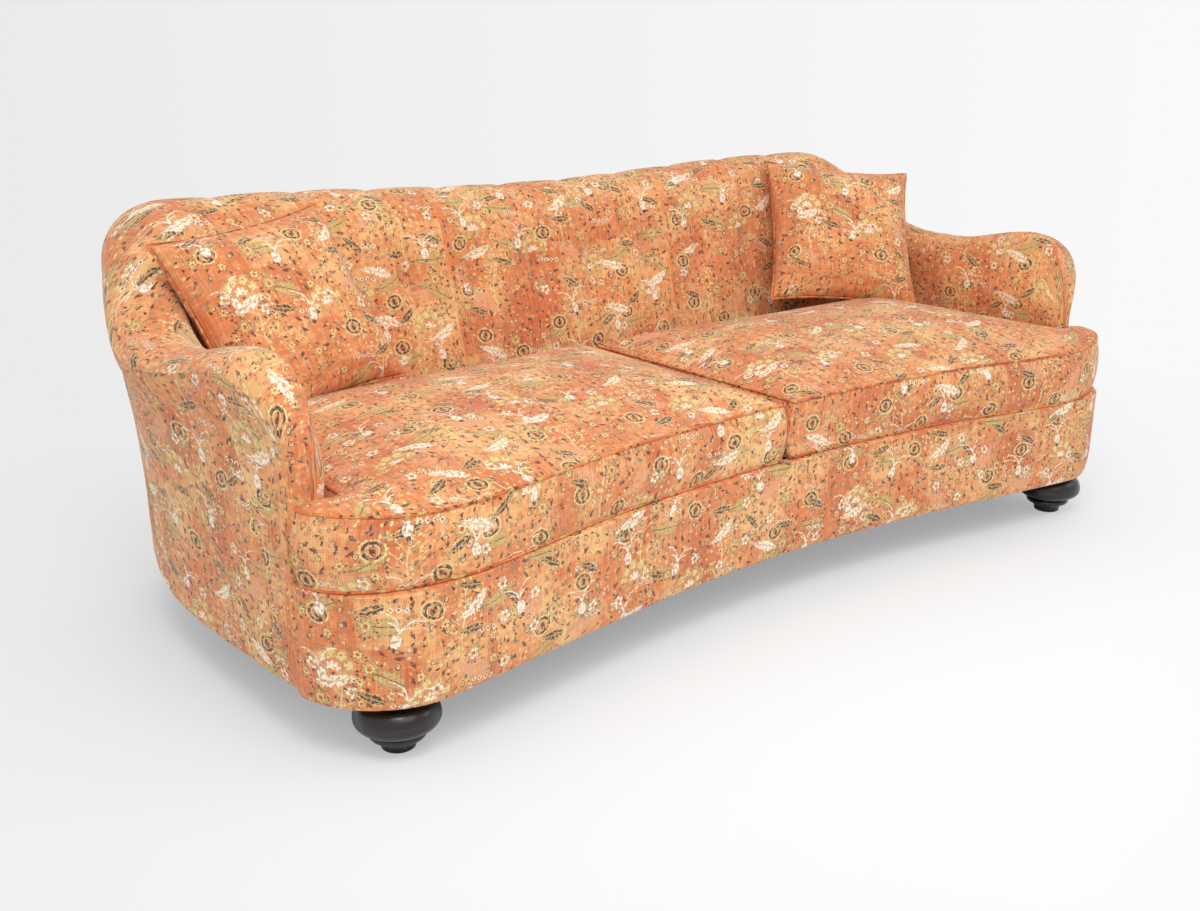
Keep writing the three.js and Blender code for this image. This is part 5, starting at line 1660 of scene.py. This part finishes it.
def dust_cover():
    """The thin cloth under the frame, a little slack between its staples, with a hole at each foot's bolt."""
    plan, inward = border_plan()
    front = plan + inward * COVER_INSET
    places = np.linspace(WALL_END - BORDER_END, BORDER_END, COVER_STEPS)
    outer, rear_inward, _, _ = wall(places)
    rear = (outer + rear_inward * COVER_INSET)[1:-1]
    outline = resample(np.concatenate([front, rear]), DECK_PITCH)
    turn = np.linspace(0, 2 * math.pi, HOLE_STEPS, endpoint=False)
    hole = BOLT_HOLE_RADIUS * np.stack([np.cos(turn), np.sin(turn)], 1)
    holes = [np.array(foot_middle(corner)) - (0, PLAN_SHIFT) + hole for corner in CORNERS]
    level = FOOT_HEIGHT + GAP

    def lower(plan, away):
        waves = SLACK_EVEN + SLACK_WAVE * np.sin(plan[:, 0] * SLACK_WAVES)
        slack = DUST_COVER_SAG * ease(away, *SLACK_SPAN) * waves
        near = np.min([np.linalg.norm(plan - hole.mean(0), axis=1) for hole in holes], 0)
        return level - slack * ease(near, *BOLT_FLAT_SPAN)

    def upper(plan, away):
        return lower(plan, away) + DUST_COVER_THICKNESS

    cover = slab("dust_cover_cloth", outline, DECK_PITCH, upper, lower, finish_of("lining"), holes)
    line = evenly(outline, STAPLE_LINE_STEPS)
    way_in = line.mean(0) - line
    line = line + way_in / np.linalg.norm(way_in, axis=1)[:, None] * STAPLE_INSET
    path = np.column_stack([line[:, 0], line[:, 1] + PLAN_SHIFT, np.full(len(line), level - STAPLE_DEPTH)])
    return cover, path, (np.ptp(outline[:, 0]), np.ptp(outline[:, 1])), abs(area_of(outline))


def area_of(outline):
    x, y = outline.T
    return float((x * np.roll(y, -1) - y * np.roll(x, -1)).sum() / 2)


# Scatter cushions

SCATTER_SIDE = 0.404
SCATTER_THICKNESS = 0.126
SCATTER_CELLS = 58
SCATTER_DRAW = 0.012
SCATTER_FULLNESS = 0.36
# Where the middle of each panel lies on the print
FRONT_PRINT, BACK_PRINT = (0.2, 0.15), (0.3, 0.35)
# Middle, turn about the upright, lean and roll of each
SCATTER_PLACINGS = {
    "left": ((-0.818, 0.617, 0.634), 0.18, 0.573, 0.11),
    "right": ((0.804, 0.617, 0.6426), -0.452, 0.6, -0.118),
}


def scatter_cushion_mesh(name):
    """Two square panels sewn together round their edge, lying flat about the origin and swollen."""
    half = SCATTER_SIDE / 2
    line = np.linspace(-1, 1, SCATTER_CELLS + 1)
    gx, gy = np.meshgrid(line, line, indexing="ij")
    x = gx * half - np.sign(gx) * SCATTER_DRAW * (1 - gy**2) * np.abs(gx) ** 3
    y = gy * half - np.sign(gy) * SCATTER_DRAW * (1 - gx**2) * np.abs(gy) ** 3
    swell = SCATTER_THICKNESS / 2 * ((1 - gx**2) * (1 - gy**2)) ** SCATTER_FULLNESS
    count = SCATTER_CELLS + 1
    front = np.arange(count * count).reshape(count, count)
    inner = (np.abs(gx) < 1) & (np.abs(gy) < 1)
    back = front.copy()
    back[inner] = count * count + np.arange(inner.sum())
    points = np.concatenate([np.stack([x, -swell, y], -1).reshape(-1, 3), np.stack([x, swell, y], -1)[inner]])
    faces, corners = [], []
    for i in range(SCATTER_CELLS):
        for j in range(SCATTER_CELLS):
            quad = [(i, j), (i + 1, j), (i + 1, j + 1), (i, j + 1)]
            faces.append(tuple(int(front[q]) for q in quad))
            corners.append([(gx[q] * half + FRONT_PRINT[0], gy[q] * half + FRONT_PRINT[1]) for q in quad])
            quad.reverse()
            faces.append(tuple(int(back[q]) for q in quad))
            corners.append([(BACK_PRINT[0] - gx[q] * half, gy[q] * half + BACK_PRINT[1]) for q in quad])
    obj = new_mesh(name, points, faces, corners, finish_of("print"))
    face_outwards(obj)
    edge = [*front[:, 0], *front[-1, 1:], *front[-2::-1, -1], *front[0, -2:0:-1]]
    return obj, [int(i) for i in edge]


def regain_width(obj):
    """Gives a swollen cushion the width and height back that the swelling drew in."""
    reach = np.ptp(points_of(obj), axis=0)
    obj.data.transform(Matrix.Diagonal((SCATTER_SIDE / reach[0], 1.0, SCATTER_SIDE / reach[2], 1.0)))
    obj.data.update()


# Feet

FOOT_RADIUS = 0.076
FOOT_BELLY_HEIGHT = 0.060
COLLAR_RADIUS = 0.056
COLLAR_HEIGHT = 0.013
NECK_RADIUS = 0.046
BEAD_RADIUS = 0.051
BEAD_HEIGHT = 0.029
BASE_RADIUS = 0.030
BASE_CHAMFER = 0.002
BASE_EDGE = 0.0015
NECK_STEP = 0.001
FOOT_SIDES = 96


def foot_profile():
    """The foot's turned outline, from the middle of its base: pad, cove, bead, belly, neck and collar."""

    def arc(cx, cy, rx, ry, low, high, count):
        turn = np.radians(np.linspace(low, high, count))
        return np.stack([cx + rx * np.cos(turn), cy + ry * np.sin(turn)], 1)

    collar_half = COLLAR_HEIGHT / 2
    belly_high = FOOT_HEIGHT - COLLAR_HEIGHT * 4 / 3
    belly_low = BEAD_HEIGHT * 4 / 3
    belly = FOOT_RADIUS - NECK_RADIUS
    bead_half = BEAD_HEIGHT / 4
    return np.concatenate([
        [[0, 0], [BASE_RADIUS - BASE_CHAMFER, 0], [BASE_RADIUS, BASE_EDGE]],
        arc(BEAD_RADIUS, BASE_EDGE, BEAD_RADIUS - BASE_RADIUS, BEAD_HEIGHT - bead_half, 176, 112, 10),
        arc(BEAD_RADIUS - bead_half, BEAD_HEIGHT, bead_half, bead_half, -70, 70, 12),
        arc(NECK_RADIUS, FOOT_BELLY_HEIGHT, belly, FOOT_BELLY_HEIGHT - belly_low, -82, 0, 18),
        arc(NECK_RADIUS, FOOT_BELLY_HEIGHT, belly, belly_high - FOOT_BELLY_HEIGHT, 5, 84, 18),
        [[NECK_RADIUS, belly_high + NECK_STEP], [NECK_RADIUS, FOOT_HEIGHT - COLLAR_HEIGHT]],
        arc(COLLAR_RADIUS - collar_half, FOOT_HEIGHT - collar_half, collar_half, collar_half, -84, 84, 14),
        [[COLLAR_RADIUS - collar_half, FOOT_HEIGHT], [0, FOOT_HEIGHT]],
    ])


def turned(name, profile, middle, sides):
    """A turned piece on an upright axis."""
    inner = profile[1:-1]
    angle = np.linspace(0, 2 * math.pi, sides, endpoint=False)
    radius, height = inner[:, None, 0], inner[:, None, 1]
    rings = np.stack([
        middle[0] + radius * np.cos(angle),
        middle[1] + radius * np.sin(angle),
        np.broadcast_to(height, (len(inner), sides)),
    ], -1)
    faces = [tuple(i * sides + j for i, j in cell) for cell in quads(len(inner), sides)]
    faces.append(tuple(range(sides))[::-1])
    faces.append(tuple((len(inner) - 1) * sides + j for j in range(sides)))
    obj = new_mesh(name, rings.reshape(-1, 3), faces, None, finish_of("foot"))
    face_outwards(obj)
    return obj


# User settings


class SofaCloth(bpy.types.PropertyGroup):
    """The printed cloth."""

    repeat: bpy.props.FloatProperty(
        name="Repeat", description="Height of the print's repeat", default=0.65, unit="LENGTH")


class SofaFilling(bpy.types.PropertyGroup):
    """How full the cushions are."""

    seat_pressure: bpy.props.FloatProperty(
        name="Seat pressure", description="Swelling of the seat cushions", default=3.2)
    seat_cap: bpy.props.FloatProperty(
        name="Seat cap", description="Farthest a point may swell", default=0.012, unit="LENGTH")
    scatter_pressure: bpy.props.FloatProperty(
        name="Scatter pressure", description="Swelling of the scatter cushions", default=5.0)
    scatter_cap: bpy.props.FloatProperty(
        name="Scatter cap", description="Farthest a point may swell", default=0.014, unit="LENGTH")
    welt_radius: bpy.props.FloatProperty(
        name="Welt radius", description="Radius of the sewn welts", default=0.0027, unit="LENGTH")


# Operators

BACK_PAD_STEPS, ARM_PAD_STEPS = 340, 110
BACK_COVER_STEPS, ARM_COVER_STEPS = 240, 130
TOP_SEAM_HOLD = 0.9
WELT_LIFT, PIPING_LIFT = 0.0004, 0.0015


def back_places(count):
    return np.linspace(BACK_CORNER + SEAM_SHARE, WALL_END - BACK_CORNER - SEAM_SHARE, count)


class SOFA_OT_back_and_arms(bpy.types.Operator):
    """Pad the inside back and both inside arms"""

    bl_idname = "sofa.back_and_arms"
    bl_label = "Back and arms"

    def execute(self, context):
        cover = padded_cover("inside_back_cover", back_places(BACK_PAD_STEPS), True)
        dress(cover, "body", ["inside_back"])
        arm = np.linspace(0, BACK_CORNER - SEAM_SHARE, ARM_PAD_STEPS)
        for name, places in (("left", arm), ("right", WALL_END - arm)):
            cover = padded_cover("inside_arm_cover_" + name, places, False)
            dress(cover, "body", ["inside_arm_" + name])
        return {"FINISHED"}


class SOFA_OT_outside(bpy.types.Operator):
    """Cover the outside of the back and arms"""

    bl_idname = "sofa.outside"
    bl_label = "Outside covers"

    def execute(self, context):
        cover = outside_cover("outside_back_cover", back_places(BACK_COVER_STEPS), 0)
        dress(cover, "body", ["outside_back"])
        arm = np.linspace(0, BACK_CORNER, ARM_COVER_STEPS)
        for name, side in SIDES:
            cover = outside_cover("outside_arm_cover_" + name, arm, side)
            dress(cover, "body", ["outside_arm_" + name])
        return {"FINISHED"}


class SOFA_OT_arm_fronts(bpy.types.Operator):
    """Wrap the fronts of the arms"""

    bl_idname = "sofa.arm_fronts"
    bl_label = "Arm fronts"

    def execute(self, context):
        for name, side in SIDES:
            cover = arm_front("arm_front_cover_" + name, side)
            dress(cover, "body", ["arm_front_" + name])
        return {"FINISHED"}


class SOFA_OT_border(bpy.types.Operator):
    """Cover the front border below the seat"""

    bl_idname = "sofa.border"
    bl_label = "Front border"

    def execute(self, context):
        cover = front_border()
        dress(cover, "body", ["front_border"])
        return {"FINISHED"}


class SOFA_OT_seat_cushions(bpy.types.Operator):
    """Fill the two seat cushions and sew their welts"""

    bl_idname = "sofa.seat_cushions"
    bl_label = "Seat cushions"

    def execute(self, context):
        filling = context.scene.sofa_filling
        for name, side in SIDES:
            body = name + "_seat_cushion"
            cushion, top_seam, bottom_seam = seat_cushion_mesh("seat_cushion_cover_" + name, side)
            held = np.where(points_of(cushion)[:, 2] < SEAT_BOTTOM + 2 * GAP, 1.0, 0.0)
            held[top_seam] = TOP_SEAM_HOLD
            settle(cushion, filling.seat_pressure, filling.seat_cap, held)
            seams = [sewn_path(cushion, ring, WELT_LIFT) for ring in (top_seam, bottom_seam)]
            seams[1][:, 2] = np.maximum(seams[1][:, 2], SEAT_BOTTOM + GAP + filling.welt_radius)
            subdivide(cushion)
            dress(cushion, body, ["seat_cushion_" + name])
            for level, path in zip(("top", "bottom"), seams):
                edge = welt(f"seat_welt_{level}_{name}", path, filling.welt_radius)
                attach(edge, body)
        return {"FINISHED"}


class SOFA_OT_scatter_cushions(bpy.types.Operator):
    """Fill the two scatter cushions, pipe their edges and lay them in the corners"""

    bl_idname = "sofa.scatter_cushions"
    bl_label = "Scatter cushions"

    def execute(self, context):
        filling = context.scene.sofa_filling
        for name, (middle, turn, lean, roll) in SCATTER_PLACINGS.items():
            body = name + "_scatter_cushion"
            cushion, edge = scatter_cushion_mesh("scatter_cushion_cover_" + name)
            settle(cushion, filling.scatter_pressure, filling.scatter_cap)
            regain_width(cushion)
            turned_by = Matrix.Rotation(turn, 4, "Z") @ Matrix.Rotation(-lean, 4, "X")
            turned_by = turned_by @ Matrix.Rotation(-roll, 4, "Y")
            shift = Matrix.Translation((middle[0], middle[1] + PLAN_SHIFT, middle[2]))
            cushion.data.transform(shift @ turned_by)
            cushion.data.update()
            path = sewn_path(cushion, edge, PIPING_LIFT)
            subdivide(cushion)
            dress(cushion, body, ["scatter_cushion_" + name])
            piping = welt("scatter_piping_" + name, path, filling.welt_radius)
            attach(piping, body)
        return {"FINISHED"}


class SOFA_OT_feet(bpy.types.Operator):
    """Turn and polish the four bun feet"""

    bl_idname = "sofa.feet"
    bl_label = "Feet"

    def execute(self, context):
        profile = foot_profile()
        for name in CORNERS:
            foot = turned("turned_foot_" + name, profile, foot_middle(name), FOOT_SIDES)
            dress(foot, "body", ["bun_foot_" + name])
        return {"FINISHED"}


class SOFA_OT_seat_deck(bpy.types.Operator):
    """Lay the pad over the springs"""

    bl_idname = "sofa.seat_deck"
    bl_label = "Deck pad"

    def execute(self, context):
        pad = deck_pad()
        dress(pad, "body", ["seat_deck"])
        return {"FINISHED"}


class SOFA_OT_dust_cover(bpy.types.Operator):
    """Staple the thin cloth under the frame"""

    bl_idname = "sofa.dust_cover"
    bl_label = "Dust cover"

    def execute(self, context):
        cover, path, flat, area = dust_cover()
        dress(cover, "body", ["dust_cover"])
        values = {"Spacing": STAPLE_SPACING, "Steel": finish_of("steel")}
        staples = grown("dust_cover_staples", path, staple_tree(), values, False)
        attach(staples, "body")
        return {"FINISHED"}


class SOFA_OT_frame(bpy.types.Operator):
    """Give the frame, the springs and the bolts their finishes"""

    bl_idname = "sofa.frame"
    bl_label = "Frame inside"

    def execute(self, context):
        kinds = {
            "beech": "beech", "plywood": "ply", "spring_steel": "steel",
            "deck_felt": "deck", "lining_cloth": "lining",
        }
        slots = {part["node"]: part["material_slot"] for part in frame["record"]["subparts"]}
        for node, obj in frame["nodes"].items():
            kind = kinds.get(slots[node])
            if kind and not obj.hide_render:
                obj.data.materials.clear()
                obj.data.materials.append(finish_of(kind))
        return {"FINISHED"}


class SOFA_OT_stage(bpy.types.Operator):
    """Set the floor, the light and the camera"""

    bl_idname = "sofa.stage"
    bl_label = "Stage"

    def execute(self, context):
        lay_floor()
        hang_lamps()
        light_world()
        set_camera()
        context.scene.view_settings.view_transform = "Standard"
        return {"FINISHED"}


# Stage

CAMERA_PLACE = Vector((-1.900, -2.224, 1.158))
CAMERA_DOWN = 17.87
CAMERA_TURN = -38.22
CAMERA_LENS = 39.18
SENSOR_WIDTH = 36.0
BACKDROP_DARK = linear(235, 235, 235)
BACKDROP_PALE = linear(249, 249, 249)
BACKDROP_SPAN = (-0.42, 0.40)
FLOOR_COLOUR = linear(244, 249, 253)
FLOOR_REACH = 40.0
# Share of the floor that shows the backdrop's own shade as a glow: near the sofa, where it is painted light
# that lightens the floor's shadow, and how much more away from it
GLOW_NEAR, GLOW_MORE, GLOW_SPAN = 0.34, 0.66, (0.7, 1.8)
AMBIENT_COLOUR = (1.0, 0.995, 0.985, 1.0)
AMBIENT_STRENGTH = 0.725
# Name, place, target, size in metres and power in watts
LAMPS = (
    ("top_lamp", (0.3, 0.9, 3.4), (0.0, -0.1, 0.3), 2.4, 8.0),
    ("front_lamp", (-0.7, -2.7, 3.2), (0.1, 0.2, 0.5), 2.6, 30.0),
    ("back_lamp", (-1.5, -1.6, 2.6), (0.75, 0.35, 0.65), 1.0, 24.0),
    ("side_lamp", (3.0, -2.4, 2.6), (0.2, 0.1, 0.5), 2.0, 13.0),
)


def backdrop_shade(p, x, y):
    """The backdrop's pale grey by direction from the camera's place: darker on its left."""
    turn = math.radians(CAMERA_TURN)
    ahead = x * -math.sin(turn) + y * math.cos(turn)
    aside = x * math.cos(turn) + y * math.sin(turn)
    return p.blend(p.ramp(aside / ahead.most(0.01), *BACKDROP_SPAN), BACKDROP_DARK, BACKDROP_PALE)


def to_camera(p, under, seen, share=1.0):
    """Mixes what the camera sees into what the light meets, by a share."""
    rays = Value(p, p.node("ShaderNodeLightPath").outputs["Is Camera Ray"])
    both = p.node("ShaderNodeMixShader", None, i0=share * rays, i1=under, i2=seen)
    return both.outputs[0]


def lay_floor():
    """A pale floor. Near the sofa a share of painted glow lightens its shadow for the camera, and away from the
    sofa the camera sees it blend into the backdrop's shade.
    """
    p = Paint("floor")
    x, y, _ = p.split(p.where())
    away = p.maths("SQRT", x * x * 0.5 + y * y)
    p.finish(Base_Color=FLOOR_COLOUR, Roughness=0.9, Specular_IOR_Level=0.1)
    shade = backdrop_shade(p, x - CAMERA_PLACE.x, y - CAMERA_PLACE.y)
    glow = p.node("ShaderNodeEmission", None, Color=shade, Strength=1.0)
    # Painted light: even next to the sofa a share of the floor glows for the camera, which lightens the sofa's
    # cast shadow.
    share = p.ramp(away, *GLOW_SPAN) * GLOW_MORE + GLOW_NEAR
    mixed = to_camera(p, p.shader.outputs[0], glow.outputs[0], share)
    p.feed(p.tree.nodes["Material Output"].inputs["Surface"], mixed)
    points = [(x * FLOOR_REACH, y * FLOOR_REACH, 0) for x, y in ((-1, -1), (1, -1), (1, 1), (-1, 1))]
    floor = new_mesh("floor", points, [(0, 1, 2, 3)], None, p.owner)


def hang_lamps():
    for name, place, target, size, power in LAMPS:
        lamp = bpy.data.lights.new(name, "AREA")
        lamp.shape = "SQUARE"
        lamp.size = size
        lamp.energy = power
        obj = bpy.data.objects.new(name, lamp)
        obj.location = place
        obj.rotation_euler = (Vector(target) - Vector(place)).to_track_quat("-Z", "Y").to_euler()
        bpy.context.scene.collection.objects.link(obj)


def light_world():
    """Even light from all round. Where the camera sees past the floor, it sees the floor's own far grey."""
    world = bpy.data.worlds.new("studio")
    bpy.context.scene.world = world
    p = Paint("studio", world)
    soft = p.tree.nodes["Background"]
    soft.inputs["Color"].default_value = AMBIENT_COLOUR
    soft.inputs["Strength"].default_value = AMBIENT_STRENGTH
    x, y, _ = p.split(p.node("ShaderNodeTexCoord").outputs["Generated"])
    seen = p.node("ShaderNodeBackground", None, Color=backdrop_shade(p, x, y))
    mixed = to_camera(p, soft.outputs[0], seen.outputs[0])
    p.feed(p.tree.nodes["World Output"].inputs["Surface"], mixed)


def set_camera():
    camera = bpy.data.cameras.new("camera")
    camera.lens = CAMERA_LENS
    camera.sensor_width = SENSOR_WIDTH
    camera.sensor_fit = "HORIZONTAL"
    obj = bpy.data.objects.new("camera", camera)
    obj.location = CAMERA_PLACE
    obj.rotation_euler = (math.radians(90 - CAMERA_DOWN), 0, math.radians(CAMERA_TURN))
    bpy.context.scene.collection.objects.link(obj)
    bpy.context.scene.camera = obj


class SOFA_PT_panel(bpy.types.Panel):
    """Lists the pieces in the 3D view's sidebar"""

    bl_idname = "SOFA_PT_panel"
    bl_label = "Curved sofa"
    bl_space_type = "VIEW_3D"
    bl_region_type = "UI"
    bl_category = "Sofa"

    def draw(self, context):
        column = self.layout.column()
        column.prop(context.scene.sofa_cloth, "repeat")
        for name in ("seat_pressure", "seat_cap", "scatter_pressure", "scatter_cap", "welt_radius"):
            column.prop(context.scene.sofa_filling, name)
        for step in STEPS:
            column.operator(step.bl_idname)


STEPS = (
    SOFA_OT_stage,
    SOFA_OT_back_and_arms,
    SOFA_OT_outside,
    SOFA_OT_arm_fronts,
    SOFA_OT_border,
    SOFA_OT_seat_cushions,
    SOFA_OT_scatter_cushions,
    SOFA_OT_feet,
    SOFA_OT_seat_deck,
    SOFA_OT_dust_cover,
    SOFA_OT_frame,
)
CLASSES = (SofaCloth, SofaFilling, *STEPS, SOFA_PT_panel)


def register():
    for made in CLASSES:
        bpy.utils.register_class(made)
    bpy.types.Scene.sofa_cloth = bpy.props.PointerProperty(type=SofaCloth)
    bpy.types.Scene.sofa_filling = bpy.props.PointerProperty(type=SofaFilling)


def unregister():
    del bpy.types.Scene.sofa_filling
    del bpy.types.Scene.sofa_cloth
    for made in reversed(CLASSES):
        bpy.utils.unregister_class(made)


def main():
    register()
    for step in STEPS:
        group, name = step.bl_idname.split(".")
        getattr(getattr(bpy.ops, group), name)()


if __name__ == "__main__":
    main()
